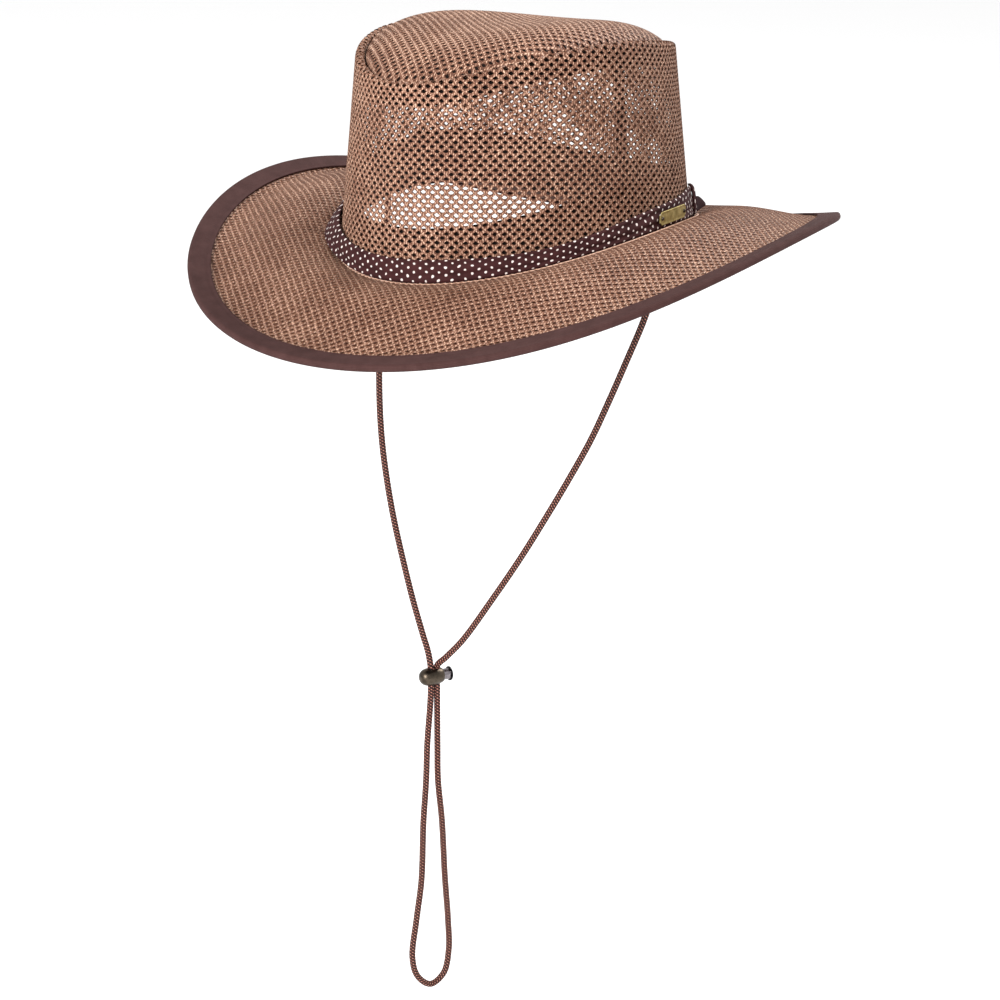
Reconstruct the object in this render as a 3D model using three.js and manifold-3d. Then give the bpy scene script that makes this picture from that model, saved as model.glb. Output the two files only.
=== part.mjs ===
// Outback hat of open mesh cloth, with a dotted band and a chin cord on a cord lock.
// Millimetres, +Z up. The front is -Y, the back is +Y, and the wearer's left is +X.
// The origin is the centre of the head opening, level with the mean height of the crown's foot.
import * as THREE from 'three';
import { mergeVertices } from 'three/addons/utils/BufferGeometryUtils.js';
import Module from 'manifold-3d';

const wasm = await Module();
wasm.setup();

// Head opening: half its width and half its length, at the foot of the crown
const HALF_WIDTH = 86;
const HALF_LENGTH = 105;

// Each curve runs round the hat. Its value is a level, plus a cosine and a sine of the angle from
// the front, taken once, twice and three times round. Heights are from the origin.
const CURVES = {
  foot: { level: 0, once: [-4.4, -1.3], twice: [-8.8, 1.5], thrice: [1.3, 0] },
  seam: { level: 97.6, once: [1.5, 1.6], twice: [-7.9, 1.6], thrice: [-1, 0.5] },
  brimEdge: { level: -9.5, once: [-8.9, -3.1], twice: [-21.5, -3.9], thrice: [1.7, 1.3] },
  brimWidth: { level: 77.2, once: [1.1, 1.2], twice: [1.2, -2.8], thrice: [0, 0] },
  brimSag: { level: 3.5, once: [0.5, -0.9], twice: [-1.4, 0.6], thrice: [0.6, -0.8] },
};

// Cloth thicknesses and the clearance between pieces
const CLOTH = 1.5;
const LINING = 1.2;
const BRIM_CLOTH = 1.4;
const BINDING_CLOTH = 1;
const GAP = 0.3;

// Crown: how far its wall leans in, the radius of its rolled rim and how far that lies under the seam,
// how far its foot reaches down, how far outside the oval the middle of its cloth starts, and how its
// tip rises, how full it is near the seam, and how it swells to the front and to the wearer's left
const TAPER = 8.9;
const RIM_RADIUS = 1.9;
const RIM_SINK = 0.6;
const FOOT_DROP = 1.6;
const WALL_MIDDLE = -0.25;
const TIP_RISE = 13.8;
const TIP_FULLNESS = 5;
const TIP_FORWARD_SWELL = 4.3;
const TIP_LEFT_SWELL = 2;
const TIP_TUCK = 1.2;

// Brim: where its cloth starts and where it stops lying flat, outside the oval. From there out it bows
// up, most at a third of the way, and sags, most at three quarters of the way, which leaves its edge
// turned up. It is straight under the binding.
const BRIM_INNER = 0.85;
const BRIM_FLAT = 3.5;
const BRIM_BOW = 5.5;
const BOW_PEAK = 4 / 27;
const SAG_PEAK = 27 / 256;
const BRIM_STRAIGHT_FROM = 0.83;
const BINDING_WIDTH = 11;

// Bands and tapes
const SWEATBAND_HEIGHT = 28;
const SEAM_TAPE_HEIGHT = 10;
const SEAM_TAPE_TOP = 4.2;
const BACK_TAPE_WIDTH = 8;
const BAND_FOOT = 0.5;
// The band's outer face, soft folds and all: height above its foot, and how far it stands out
const BAND_FOLDS = [
  { height: 0, depth: 1.6 },
  { height: 1.6, depth: 2.9 },
  { height: 3.6, depth: 2.2 },
  { height: 6.2, depth: 2.8 },
  { height: 9.4, depth: 2.1 },
  { height: 11.4, depth: 2.3 },
  { height: 12.4, depth: 1.1 },
];

// Where the band swells out over the brim, where it is narrower, and where its ends meet under the
// keeper, which makes it taller and presses it flat. Angles here and below are from the front towards
// the wearer's left, in degrees.
const BAND_SWELL = { at: -50, spread: 20, out: 5.5, lift: 0.45 };
const BAND_NARROW = { at: 55, spread: 26, share: 0.28 };
const BAND_ENDS = { at: 124, spread: 14, taller: 0.34, flatter: 0.3 };

// Trim on the band
const KEEPER = { from: 124.2, to: 131.2, depth: 2.3, cloth: 1.1 };
// The keeper's path up the band's face and over its top: height, as a share of the band's, any further
// height, and how far out it lies from its full depth
const KEEPER_PATH = [
  { share: 0.04, above: 0, out: -0.4 },
  { share: 0.3, above: 0, out: 0 },
  { share: 0.8, above: 0, out: 0 },
  { share: 0.96, above: 0.3, out: -0.5 },
  { share: 1, above: 1, out: -1.5 },
];
const TAIL = {
  from: 131.8,
  to: 139,
  reach: 5.6,
  cloth: 1.4,
  bottom: 1.6,
  lift: 3,
  tall: 8.4,
  tip: 1.6,
  slope: 0.08,
};
const BADGE = { from: 91, to: 107, foot: 2.6, height: 7, chamfer: 0.8, thickness: 0.8 };
const RIVET = { radius: 1.1, height: 0.7, inset: 1.3 };

// Chin cord: its route from the wearer's left, through the lock, round the loop and up to the right
const CORD_DIAMETER = 3.6;
const CORD_SIDES = 8;
const CORD_STEPS_PER_POINT = 2;
const CORD_ROUTE = [
  [82.8, 18, 5.6],
  [82.4, 18, -4],
  [79.4, 17.6, -20],
  [71.4, 16.5, -44.4],
  [61.7, 15.2, -67.3],
  [51.5, 13.9, -90.5],
  [40.5, 12.5, -114],
  [27.1, 10.8, -138.1],
  [12.6, 8.9, -162.6],
  [-2.8, 6.9, -187.5],
  [-19.9, 4.7, -213],
  [-38.5, 2.8, -239.1],
  [-49.3, 1.8, -250.8],
  [-56, 1.72, -257.4],
  [-56, 1.71, -261.2],
  [-56, 1.71, -265],
  [-56, 1.71, -270.5],
  [-56, 1.75, -286],
  [-56, 1.8, -305],
  [-55.9, 2, -325],
  [-54.9, 4.2, -350],
  [-54.2, 5.8, -384],
  [-53.4, 7.6, -411],
  [-53.2, 7.9, -430],
  [-54.6, 4.8, -443.5],
  [-58, -2.8, -448.6],
  [-61.4, -10.9, -442],
  [-62.9, -13.8, -430],
  [-61.8, -11.2, -407.5],
  [-60.4, -8.1, -384],
  [-59.8, -6.8, -350],
  [-59, -5.1, -325],
  [-58.6, -4.2, -302],
  [-57.9, -2.3, -280],
  [-57.6, -1.91, -270.5],
  [-57.6, -1.91, -265],
  [-57.6, -1.91, -261.2],
  [-57.8, -1.88, -257.2],
  [-60.2, -0.9, -249.5],
  [-63.7, -1, -240],
  [-70.3, -1.8, -219.5],
  [-76.2, -2.6, -197.9],
  [-81.8, -3.3, -175.4],
  [-86.1, -3.9, -152.8],
  [-89.1, -4.3, -130.2],
  [-90.5, -4.4, -105],
  [-90, -4.3, -72],
  [-87.6, -4, -36],
  [-84.6, -3.7, -8],
  [-84, -3.6, 7.6],
];

// Cord lock: a bean-shaped barrel with a button in its open end, on a level axis. Lengths along the
// axis are from the middle of the slot that the two strands pass through.
const LOCK_AT = [-56.8, -0.1, -263.1];
const LOCK_TURN = 66;
const BARREL = {
  closedEnd: -8.9,
  middle: -2.2,
  openEnd: 5,
  openLength: 10,
  radius: 5.15,
  roundness: 2.5,
  bore: 3.5,
  boreEnd: -6.6,
  stations: [-8.8, -8.4, -7.4, -5.7, -3.4, -0.8, 1.6, 3.6],
};
const BUTTON = {
  stem: 3.2,
  innerEnd: -5,
  outerEnd: 10.4,
  flange: 4.1,
  flangeThickness: 1.2,
  chamfer: 0.35,
  travel: 1.5,
};
const SLOT = { width: 4.2, length: 8 };

const SEGMENTS = 64;
const LATHE_SEGMENTS = 20;

const materials = {
  mesh: new THREE.MeshStandardMaterial({ color: 0xa5785f, roughness: 0.85, metalness: 0 }),
  binding: new THREE.MeshStandardMaterial({ color: 0x523431, roughness: 0.8, metalness: 0 }),
  band: new THREE.MeshStandardMaterial({ color: 0x3a2327, roughness: 0.8, metalness: 0 }),
  lining: new THREE.MeshStandardMaterial({ color: 0x1a100d, roughness: 0.9, metalness: 0 }),
  brass: new THREE.MeshStandardMaterial({ color: 0xa8995c, roughness: 0.4, metalness: 0.9 }),
  cord: new THREE.MeshStandardMaterial({ color: 0x7a4231, roughness: 0.8, metalness: 0 }),
  bronze: new THREE.MeshStandardMaterial({ color: 0x4f4632, roughness: 0.4, metalness: 0.9 }),
  steel: new THREE.MeshStandardMaterial({ color: 0x80787d, roughness: 0.3, metalness: 1 }),
};

const radians = THREE.MathUtils.degToRad;

function around(curve, angle) {
  const { level, once, twice, thrice } = CURVES[curve];
  return [once, twice, thrice].reduce(
    (sum, [cosine, sine], index) =>
      sum + cosine * Math.cos((index + 1) * angle) + sine * Math.sin((index + 1) * angle),
    level,
  );
}

// A point of the hat, from its angle, how far outside the foot's oval it lies, and its height
function place(angle, out, z) {
  const normal = new THREE.Vector2(HALF_LENGTH * Math.sin(angle), -HALF_WIDTH * Math.cos(angle)).normalize();
  const x = HALF_WIDTH * Math.sin(angle) + normal.x * out;
  const y = -HALF_LENGTH * Math.cos(angle) + normal.y * out;
  return new THREE.Vector3(x, y, z);
}

// How far the crown's wall has leant in at a height
function lean(angle, z) {
  const foot = around('foot', angle);
  return (TAPER * (z - foot)) / (around('seam', angle) - foot);
}

// The outline of a cloth of even thickness that follows a path of [out, z] points
function thicken(path, thickness) {
  const sides = [[], []];
  path.forEach((point, index) => {
    const before = path[Math.max(index - 1, 0)];
    const after = path[Math.min(index + 1, path.length - 1)];
    const arrive = new THREE.Vector2(point[0] - before[0], point[1] - before[1]).normalize();
    const leave = new THREE.Vector2(after[0] - point[0], after[1] - point[1]).normalize();
    const along = arrive.clone().add(leave).normalize();
    const shift = thickness / 2 / Math.max(along.dot(arrive), along.dot(leave));
    sides[0].push([point[0] - along.y * shift, point[1] + along.x * shift]);
    sides[1].unshift([point[0] + along.y * shift, point[1] - along.x * shift]);
  });
  return [...sides[0], ...sides[1]];
}

// Turns the triangles round where they face inwards
function facingOut(positions, indices) {
  const corners = [new THREE.Vector3(), new THREE.Vector3(), new THREE.Vector3()];
  let volume = 0;
  for (let i = 0; i < indices.length; i += 3) {
    corners.forEach((corner, k) => corner.fromArray(positions, indices[i + k] * 3));
    volume += corners[0].dot(corners[1].clone().cross(corners[2]));
  }
  const ordered = volume < 0 ? indices.slice().reverse() : indices;
  const geometry = new THREE.BufferGeometry();
  geometry.setAttribute('position', new THREE.Float32BufferAttribute(positions, 3));
  geometry.setIndex(ordered);
  geometry.computeVertexNormals();
  return geometry;
}

// A closed body from one [out, z] outline at each angle, either all the way round or from end to end
function sweep(angles, outlineAt, closed) {
  const outlines = angles.map((angle) => outlineAt(angle));
  const size = outlines[0].length;
  const positions = outlines.flatMap((outline, i) =>
    outline.flatMap(([out, z]) => place(angles[i], out, z).toArray()),
  );
  const indices = [];
  const steps = closed ? angles.length : angles.length - 1;
  for (let i = 0; i < steps; i += 1) {
    const here = i * size;
    const next = ((i + 1) % angles.length) * size;
    for (let j = 0; j < size; j += 1) {
      const k = (j + 1) % size;
      indices.push(here + j, next + j, next + k, here + j, next + k, here + k);
    }
  }
  if (!closed) {
    [0, angles.length - 1].forEach((end) => {
      const flat = outlines[end].map(([out, z]) => new THREE.Vector2(out, z));
      const clockwise = THREE.ShapeUtils.isClockWise(flat);
      THREE.ShapeUtils.triangulateShape(flat, []).forEach((triangle) => {
        const [a, b, c] = triangle.map((corner) => end * size + corner);
        const turned = (end === 0) !== clockwise;
        indices.push(...(turned ? [a, b, c] : [c, b, a]));
      });
    });
  }
  return facingOut(positions, indices);
}

const roundAngles = Array.from({ length: SEGMENTS }, (_, i) => (i / SEGMENTS) * 2 * Math.PI - Math.PI);

function ring(outlineAt) {
  return sweep(roundAngles, outlineAt, true);
}

function strip(from, to, steps, outlineAt) {
  const angles = Array.from({ length: steps + 1 }, (_, i) => radians(from + ((to - from) * i) / steps));
  return sweep(angles, outlineAt, false);
}

// Crown wall: a leaning wall of mesh that rolls over into its rim and ends down in the seam
function crownWallOutline(angle) {
  const foot = around('foot', angle);
  const seam = around('seam', angle);
  const rimTurns = [0, 45, 90, 135, 180];
  const heights = [0, 0.35, 0.7];
  const bottom = foot - FOOT_DROP;
  const top = seam - RIM_RADIUS - RIM_SINK;
  const wall = heights.map((part) => {
    const z = THREE.MathUtils.lerp(bottom, top, part);
    return [WALL_MIDDLE - lean(angle, z), z];
  });
  const centre = WALL_MIDDLE - lean(angle, top) - RIM_RADIUS;
  const rim = rimTurns.map((turn) => [
    centre + RIM_RADIUS * Math.cos(radians(turn)),
    top + RIM_RADIUS * Math.sin(radians(turn)),
  ]);
  return thicken([...wall, ...rim], CLOTH);
}

// Crown tip: a puffed oval of mesh whose rim stands in the seam
function crownTip() {
  const rings = [1, 0.97, 0.86, 0.66, 0.4];
  const seamOut = WALL_MIDDLE - TAPER - 2 * RIM_RADIUS - CLOTH / 2 - GAP;
  const surface = (angle, part, sunk) => {
    const rim = place(angle, seamOut, 0);
    const level = CURVES.seam.level;
    const inner = level + (around('seam', angle) - level) * part ** 2;
    const dome = TIP_RISE * (1 - part ** TIP_FULLNESS);
    const aside = TIP_FORWARD_SWELL * Math.cos(angle) + TIP_LEFT_SWELL * Math.sin(angle);
    const swell = aside * part * (1 - part ** 2);
    const tuck = part === 1 ? TIP_TUCK : 0;
    return [rim.x * part, rim.y * part, inner + dome + swell - tuck - sunk];
  };
  const rows = [
    ...rings.slice().reverse().map((part) => roundAngles.map((angle) => surface(angle, part, CLOTH))),
    ...rings.map((part) => roundAngles.map((angle) => surface(angle, part, 0))),
  ];
  const positions = rows.flat(2);
  const under = positions.length / 3;
  positions.push(...surface(0, 0, CLOTH), ...surface(0, 0, 0));
  const indices = [];
  for (let i = 0; i < rows.length - 1; i += 1) {
    for (let j = 0; j < SEGMENTS; j += 1) {
      const k = (j + 1) % SEGMENTS;
      const here = i * SEGMENTS;
      const next = here + SEGMENTS;
      indices.push(here + j, next + k, next + j, here + j, here + k, next + k);
    }
  }
  const last = (rows.length - 1) * SEGMENTS;
  for (let j = 0; j < SEGMENTS; j += 1) {
    const k = (j + 1) % SEGMENTS;
    indices.push(under, k, j, under + 1, last + j, last + k);
  }
  return facingOut(positions, indices);
}

// The middle of the brim's cloth, from where it stops lying flat to its edge
function brimPath(angle, parts) {
  const foot = around('foot', angle) - BRIM_CLOTH / 2;
  const edge = around('brimEdge', angle);
  const width = around('brimWidth', angle);
  const sag = around('brimSag', angle);
  return parts.map((part) => {
    const bowed = (BRIM_BOW / BOW_PEAK) * part * (1 - part) ** 2;
    const sagged = (sag / SAG_PEAK) * part ** 3 * (1 - part);
    const straight = THREE.MathUtils.lerp(foot, edge, part);
    return [THREE.MathUtils.lerp(BRIM_FLAT, width, part), straight + bowed - sagged];
  });
}

function brimOutline(angle) {
  const path = brimPath(angle, [0, 0.14, 0.33, 0.52, 0.7, BRIM_STRAIGHT_FROM, 1]);
  return thicken([[BRIM_INNER, path[0][1]], ...path], BRIM_CLOTH);
}

// Binding: cloth folded over the brim's edge
function bindingOutline(angle) {
  const [inner, edge] = brimPath(angle, [BRIM_STRAIGHT_FROM, 1]);
  const along = new THREE.Vector2(edge[0] - inner[0], edge[1] - inner[1]).normalize();
  const half = BRIM_CLOTH / 2 + GAP;
  const outer = half + BINDING_CLOTH;
  const local = [
    [-BINDING_WIDTH, half],
    [-BINDING_WIDTH, outer],
    [0, outer],
    [GAP + BINDING_CLOTH, outer / 2],
    [GAP + BINDING_CLOTH, -outer / 2],
    [0, -outer],
    [-BINDING_WIDTH, -outer],
    [-BINDING_WIDTH, -half],
    [GAP, -half],
    [GAP, half],
  ];
  return local.map(([run, rise]) => [
    edge[0] + along.x * run - along.y * rise,
    edge[1] + along.y * run + along.x * rise,
  ]);
}

// A plain band of cloth that hugs the wall's inside between two heights
function liningOutline(angle, from, to) {
  const middle = WALL_MIDDLE - CLOTH / 2 - GAP - LINING / 2;
  const path = [from, to].map((z) => [middle - lean(angle, z), z]);
  return thicken(path, LINING);
}

function sweatbandOutline(angle) {
  const foot = around('foot', angle);
  return liningOutline(angle, foot - FOOT_DROP, foot + SWEATBAND_HEIGHT);
}

function tipTapeOutline(angle) {
  const top = around('seam', angle) - SEAM_TAPE_TOP;
  return liningOutline(angle, top - SEAM_TAPE_HEIGHT, top);
}

function backTapeOutline(angle) {
  const top = around('seam', angle) - SEAM_TAPE_TOP - SEAM_TAPE_HEIGHT - GAP;
  return liningOutline(angle, around('foot', angle) + SWEATBAND_HEIGHT + GAP, top);
}

// The wall's outer face, plus the gap that the band keeps to it
function bandBack(angle, z) {
  return WALL_MIDDLE + CLOTH / 2 + GAP - lean(angle, z);
}

// How much of a local change there is at an angle, from 0 to 1
function near(angle, { at, spread }) {
  return Math.exp(-(((angle - radians(at)) / radians(spread)) ** 2));
}

// How tall the band is at an angle, against its section
function bandTall(angle) {
  return 1 - BAND_NARROW.share * near(angle, BAND_NARROW) + BAND_ENDS.taller * near(angle, BAND_ENDS);
}

const BAND_WHOLE = BAND_FOLDS[BAND_FOLDS.length - 1].height;

function hatBandOutline(angle) {
  const foot = around('foot', angle) + BAND_FOOT;
  const tall = bandTall(angle);
  const pressed = 1 - BAND_ENDS.flatter * near(angle, BAND_ENDS);
  const out = BAND_SWELL.out * near(angle, BAND_SWELL);
  const face = BAND_FOLDS.map(({ height, depth }) => {
    const part = height / BAND_WHOLE;
    const swell = out * (1 - part ** 2);
    const z = foot + height * tall + BAND_SWELL.lift * swell * (1 - part);
    return [bandBack(angle, z) + depth * pressed + swell, z];
  });
  const top = foot + BAND_WHOLE * tall;
  return [...face, [bandBack(angle, top), top], [bandBack(angle, foot), foot]];
}

// Keeper: a wrap that hides where the band's ends meet, over its face and its top
function keeperOutline(angle) {
  const foot = around('foot', angle) + BAND_FOOT;
  const face = KEEPER.depth + GAP + KEEPER.cloth / 2;
  const path = KEEPER_PATH.map(({ share, above, out }) => {
    const z = foot + BAND_WHOLE * bandTall(angle) * share + above;
    return [bandBack(angle, z) + face + out, z];
  });
  return thicken(path, KEEPER.cloth);
}

// Tail: the band's short free end, which comes out of the keeper and thins to a point
function tailOutline(angle) {
  const part = (angle - radians(TAIL.from)) / radians(TAIL.to - TAIL.from);
  const foot = around('foot', angle) + BAND_FOOT;
  const back = bandBack(angle, foot) + KEEPER.depth + GAP + TAIL.reach * part ** 1.3;
  const bottom = foot + TAIL.bottom + TAIL.lift * part;
  const tall = THREE.MathUtils.lerp(TAIL.tall, TAIL.tip, part);
  const slope = TAIL.slope * tall;
  return [
    [back, bottom],
    [back + TAIL.cloth, bottom],
    [back + TAIL.cloth - slope, bottom + tall],
    [back - slope, bottom + tall],
  ];
}

// Badge: a thin plate with clipped corners, bent to the band
function badgeOutline(angle) {
  const fromEnd = Math.min(angle - radians(BADGE.from), radians(BADGE.to) - angle);
  const clip = fromEnd < radians(0.1) ? BADGE.chamfer : 0;
  const low = around('foot', angle) + BAND_FOOT + BADGE.foot + clip;
  const high = low + BADGE.height - 2 * clip;
  const back = badgeBack(angle);
  return [
    [back, low],
    [back + BADGE.thickness, low],
    [back + BADGE.thickness, high],
    [back, high],
  ];
}

function badgeBack(angle) {
  const deepest = Math.max(...BAND_FOLDS.map(({ depth }) => depth));
  return bandBack(angle, around('foot', angle) + BAND_FOOT) + deepest + GAP;
}

function rivet(degrees) {
  const { radius, height } = RIVET;
  const profile = [
    [0, 0],
    [radius, 0],
    [radius * 0.92, height * 0.55],
    [radius * 0.5, height * 0.92],
    [0, height],
  ].map(([r, y]) => new THREE.Vector2(r, y));
  const geometry = new THREE.LatheGeometry(profile, 12);
  const angle = radians(degrees);
  const base = badgeBack(angle) + BADGE.thickness + GAP / 2;
  const z = around('foot', angle) + BAND_FOOT + BADGE.foot + BADGE.height / 2;
  const at = place(angle, base, z);
  const outward = place(angle, base + 1, z).sub(at).normalize();
  const turn = new THREE.Quaternion().setFromUnitVectors(new THREE.Vector3(0, 1, 0), outward);
  return { geometry, at, turn };
}

// Chin cord: its steps fall evenly between the route's points, so the close points round the lock
// get short steps
class CordRoute extends THREE.CatmullRomCurve3 {
  getUtoTmapping(u) {
    return u;
  }
}

function chinCord() {
  const route = new CordRoute(CORD_ROUTE.map((point) => new THREE.Vector3(...point)));
  const corners = Array.from({ length: CORD_SIDES }, (_, i) => {
    const angle = (i / CORD_SIDES) * 2 * Math.PI;
    return new THREE.Vector2(Math.cos(angle), Math.sin(angle)).multiplyScalar(CORD_DIAMETER / 2);
  });
  const steps = CORD_STEPS_PER_POINT * (CORD_ROUTE.length - 1);
  return new THREE.ExtrudeGeometry(new THREE.Shape(corners), { steps, extrudePath: route });
}

// Booleans for the cord lock
function toSolid(geometry) {
  const bare = geometry.clone();
  bare.deleteAttribute('normal');
  bare.deleteAttribute('uv');
  const merged = mergeVertices(bare, 1e-4);
  return new wasm.Manifold(
    new wasm.Mesh({
      numProp: 3,
      vertProperties: new Float32Array(merged.attributes.position.array),
      triVerts: new Uint32Array(merged.index.array),
    }),
  );
}

function toGeometry(solid) {
  const mesh = solid.getMesh();
  const geometry = new THREE.BufferGeometry();
  geometry.setAttribute('position', new THREE.BufferAttribute(new Float32Array(mesh.vertProperties), 3));
  geometry.setIndex(Array.from(mesh.triVerts));
  geometry.computeVertexNormals();
  return geometry;
}

// A round body on the lock's axis, from [along, radius] points
function turned(points) {
  const profile = points.map(([along, radius]) => new THREE.Vector2(radius, along));
  return new THREE.LatheGeometry(profile, LATHE_SEGMENTS).rotateZ(-Math.PI / 2);
}

// A round-ended slot from top to bottom, between two places on the axis
function slot(from, to) {
  const half = SLOT.width / 2;
  const outline = new THREE.Shape();
  outline.absarc(to - half, 0, half, -Math.PI / 2, Math.PI / 2);
  outline.absarc(from + half, 0, half, Math.PI / 2, (3 * Math.PI) / 2);
  const reach = 2 * BARREL.radius;
  const options = { depth: 2 * reach, bevelEnabled: false, curveSegments: 6 };
  return new THREE.ExtrudeGeometry(outline, options).translate(0, 0, -reach);
}

function barrelRadius(along) {
  const side = along < BARREL.middle ? BARREL.middle - BARREL.closedEnd : BARREL.openLength;
  const part = Math.abs(along - BARREL.middle) / side;
  return BARREL.radius * (1 - part ** BARREL.roundness) ** (1 / BARREL.roundness);
}

function lockBarrel() {
  const shell = [
    [BARREL.closedEnd, 0],
    ...[...BARREL.stations, BARREL.openEnd].map((along) => [along, barrelRadius(along)]),
    [BARREL.openEnd, BARREL.bore],
    [BARREL.boreEnd, BARREL.bore],
    [BARREL.boreEnd, 0],
  ];
  const hole = slot(-SLOT.length / 2, SLOT.length / 2);
  return toGeometry(toSolid(turned(shell)).subtract(toSolid(hole)));
}

function lockButton() {
  const face = BUTTON.outerEnd;
  const rim = face - BUTTON.flangeThickness;
  const shape = [
    [BUTTON.innerEnd, 0],
    [BUTTON.innerEnd, BUTTON.stem],
    [rim, BUTTON.stem],
    [rim, BUTTON.flange],
    [face - BUTTON.chamfer, BUTTON.flange],
    [face, BUTTON.flange - BUTTON.chamfer],
    [face, 0],
  ];
  const hole = slot(-SLOT.length / 2, SLOT.length / 2 + BUTTON.travel);
  return toGeometry(toSolid(turned(shape)).subtract(toSolid(hole)));
}

const hat = new THREE.Group();

function add(parent, name, geometry, material) {
  const mesh = new THREE.Mesh(geometry, material);
  mesh.name = name;
  parent.add(mesh);
  return mesh;
}

add(hat, 'brim', ring(brimOutline), materials.mesh);
add(hat, 'brim_binding', ring(bindingOutline), materials.binding);
add(hat, 'crown_wall', ring(crownWallOutline), materials.mesh);
add(hat, 'crown_tip', crownTip(), materials.mesh);
add(hat, 'sweatband', ring(sweatbandOutline), materials.lining);
add(hat, 'tip_seam_tape', ring(tipTapeOutline), materials.lining);
const backTapeHalf = THREE.MathUtils.radToDeg(BACK_TAPE_WIDTH / 2 / HALF_WIDTH);
const backTape = strip(180 - backTapeHalf, 180 + backTapeHalf, 2, backTapeOutline);
add(hat, 'back_seam_tape', backTape, materials.lining);
add(hat, 'hat_band', ring(hatBandOutline), materials.band);
add(hat, 'band_keeper', strip(KEEPER.from, KEEPER.to, 3, keeperOutline), materials.band);
add(hat, 'band_tail', strip(TAIL.from, TAIL.to, 4, tailOutline), materials.band);
add(hat, 'badge', strip(BADGE.from, BADGE.to, 8, badgeOutline), materials.brass);
[
  ['badge_rivet_front', BADGE.from + RIVET.inset],
  ['badge_rivet_back', BADGE.to - RIVET.inset],
].forEach(([name, degrees]) => {
  const { geometry, at, turn } = rivet(degrees);
  const mesh = add(hat, name, geometry, materials.bronze);
  mesh.position.copy(at);
  mesh.quaternion.copy(turn);
});
add(hat, 'chin_cord', chinCord(), materials.cord);

const lock = new THREE.Group();
lock.position.set(...LOCK_AT);
lock.rotation.z = radians(LOCK_TURN);
hat.add(lock);
add(lock, 'lock_barrel', lockBarrel(), materials.bronze);
add(lock, 'lock_button', lockButton(), materials.steel);

export default hat;
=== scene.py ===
# %% [markdown]
# # An outback hat of open mesh cloth
# This lesson dresses a hat whose solids were made in CAD. The solids are loaded as a fixed frame, and
# each cloth, metal or cord piece is then made in the same place, with the detail the real one shows.
# The front is -Y, the back is +Y, the wearer's left is +X, and lengths are in metres.

# %% Load the frame
import math

import bpy
import numpy as np
from mathutils import Matrix, Vector


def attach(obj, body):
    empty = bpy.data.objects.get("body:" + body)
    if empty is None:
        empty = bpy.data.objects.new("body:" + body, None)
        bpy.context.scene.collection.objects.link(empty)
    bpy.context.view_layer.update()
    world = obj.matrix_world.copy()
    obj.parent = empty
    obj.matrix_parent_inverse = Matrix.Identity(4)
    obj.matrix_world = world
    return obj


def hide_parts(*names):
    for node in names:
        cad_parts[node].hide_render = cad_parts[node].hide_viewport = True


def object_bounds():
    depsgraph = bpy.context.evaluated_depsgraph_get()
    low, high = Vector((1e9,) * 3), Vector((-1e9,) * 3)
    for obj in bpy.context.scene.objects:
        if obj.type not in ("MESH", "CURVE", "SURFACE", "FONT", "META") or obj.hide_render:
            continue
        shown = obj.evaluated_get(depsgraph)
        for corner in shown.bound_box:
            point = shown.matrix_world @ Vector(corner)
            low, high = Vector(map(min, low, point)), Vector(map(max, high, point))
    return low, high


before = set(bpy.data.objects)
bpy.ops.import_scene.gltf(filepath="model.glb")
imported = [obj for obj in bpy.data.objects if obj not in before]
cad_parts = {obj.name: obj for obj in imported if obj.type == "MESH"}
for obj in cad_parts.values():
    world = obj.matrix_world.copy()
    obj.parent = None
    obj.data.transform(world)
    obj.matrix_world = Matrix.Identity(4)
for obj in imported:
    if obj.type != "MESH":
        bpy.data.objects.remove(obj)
cad_low, cad_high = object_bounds()
print("CAD box in mm:", [round(1000 * (high - low)) for low, high in zip(cad_low, cad_high)])

# %% [markdown]
# ## The camera
# The photograph was taken from the hat's front left, a little above it. A long lens at two metres keeps
# the brim's near and far sides in the photograph's proportion.

# %% Place the camera
MM = 0.001
CAMERA_PLACE = (1.149, -1.5966, 0.3905)
CAMERA_TARGET = (0.0156, -0.0366, -0.1407)
CAMERA_LENS = 134.64


def aim(place, target):
    """The turn that points a camera or a lamp from its place at a target."""
    return (Vector(target) - Vector(place)).to_track_quat("-Z", "Y").to_euler()


bpy.ops.object.select_all(action="DESELECT")
bpy.ops.object.camera_add(location=CAMERA_PLACE)
camera = bpy.context.object
camera.name = "camera"
camera.rotation_euler = aim(CAMERA_PLACE, CAMERA_TARGET)
camera.data.lens = CAMERA_LENS
camera.data.sensor_width = 36
bpy.context.scene.camera = camera
print("camera looks down", round(math.degrees(math.pi / 2 - camera.rotation_euler.x), 1), "degrees")

# %% [markdown]
# ## Small helpers
# Mesh points are read and written as one table, which is quick for cloth with thousands of holes.
# Colours are written as on a screen, and one function turns them into the linear light of shaders.

# %% Helpers for meshes
def deselect():
    bpy.ops.object.select_all(action="DESELECT")


def select_only(piece):
    deselect()
    piece.select_set(True)
    bpy.context.view_layer.objects.active = piece


def select_all():
    bpy.ops.mesh.select_all(action="SELECT")


def points_of(piece):
    table = np.empty(len(piece.data.vertices) * 3)
    piece.data.vertices.foreach_get("co", table)
    return table.reshape(-1, 3)


def move_points(piece, table):
    piece.data.vertices.foreach_set("co", np.asarray(table, float).ravel())
    piece.data.update()


def in_edit_mode(piece, *steps):
    """Runs operators in edit mode on all of the piece."""
    select_only(piece)
    bpy.ops.object.mode_set(mode="EDIT")
    select_all()
    for step in steps:
        step()
    bpy.ops.object.mode_set(mode="OBJECT")


def merge_close(distance=0.00002):
    bpy.ops.mesh.remove_doubles(threshold=distance)


def face_outwards():
    bpy.ops.mesh.normals_make_consistent(inside=False)


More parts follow.
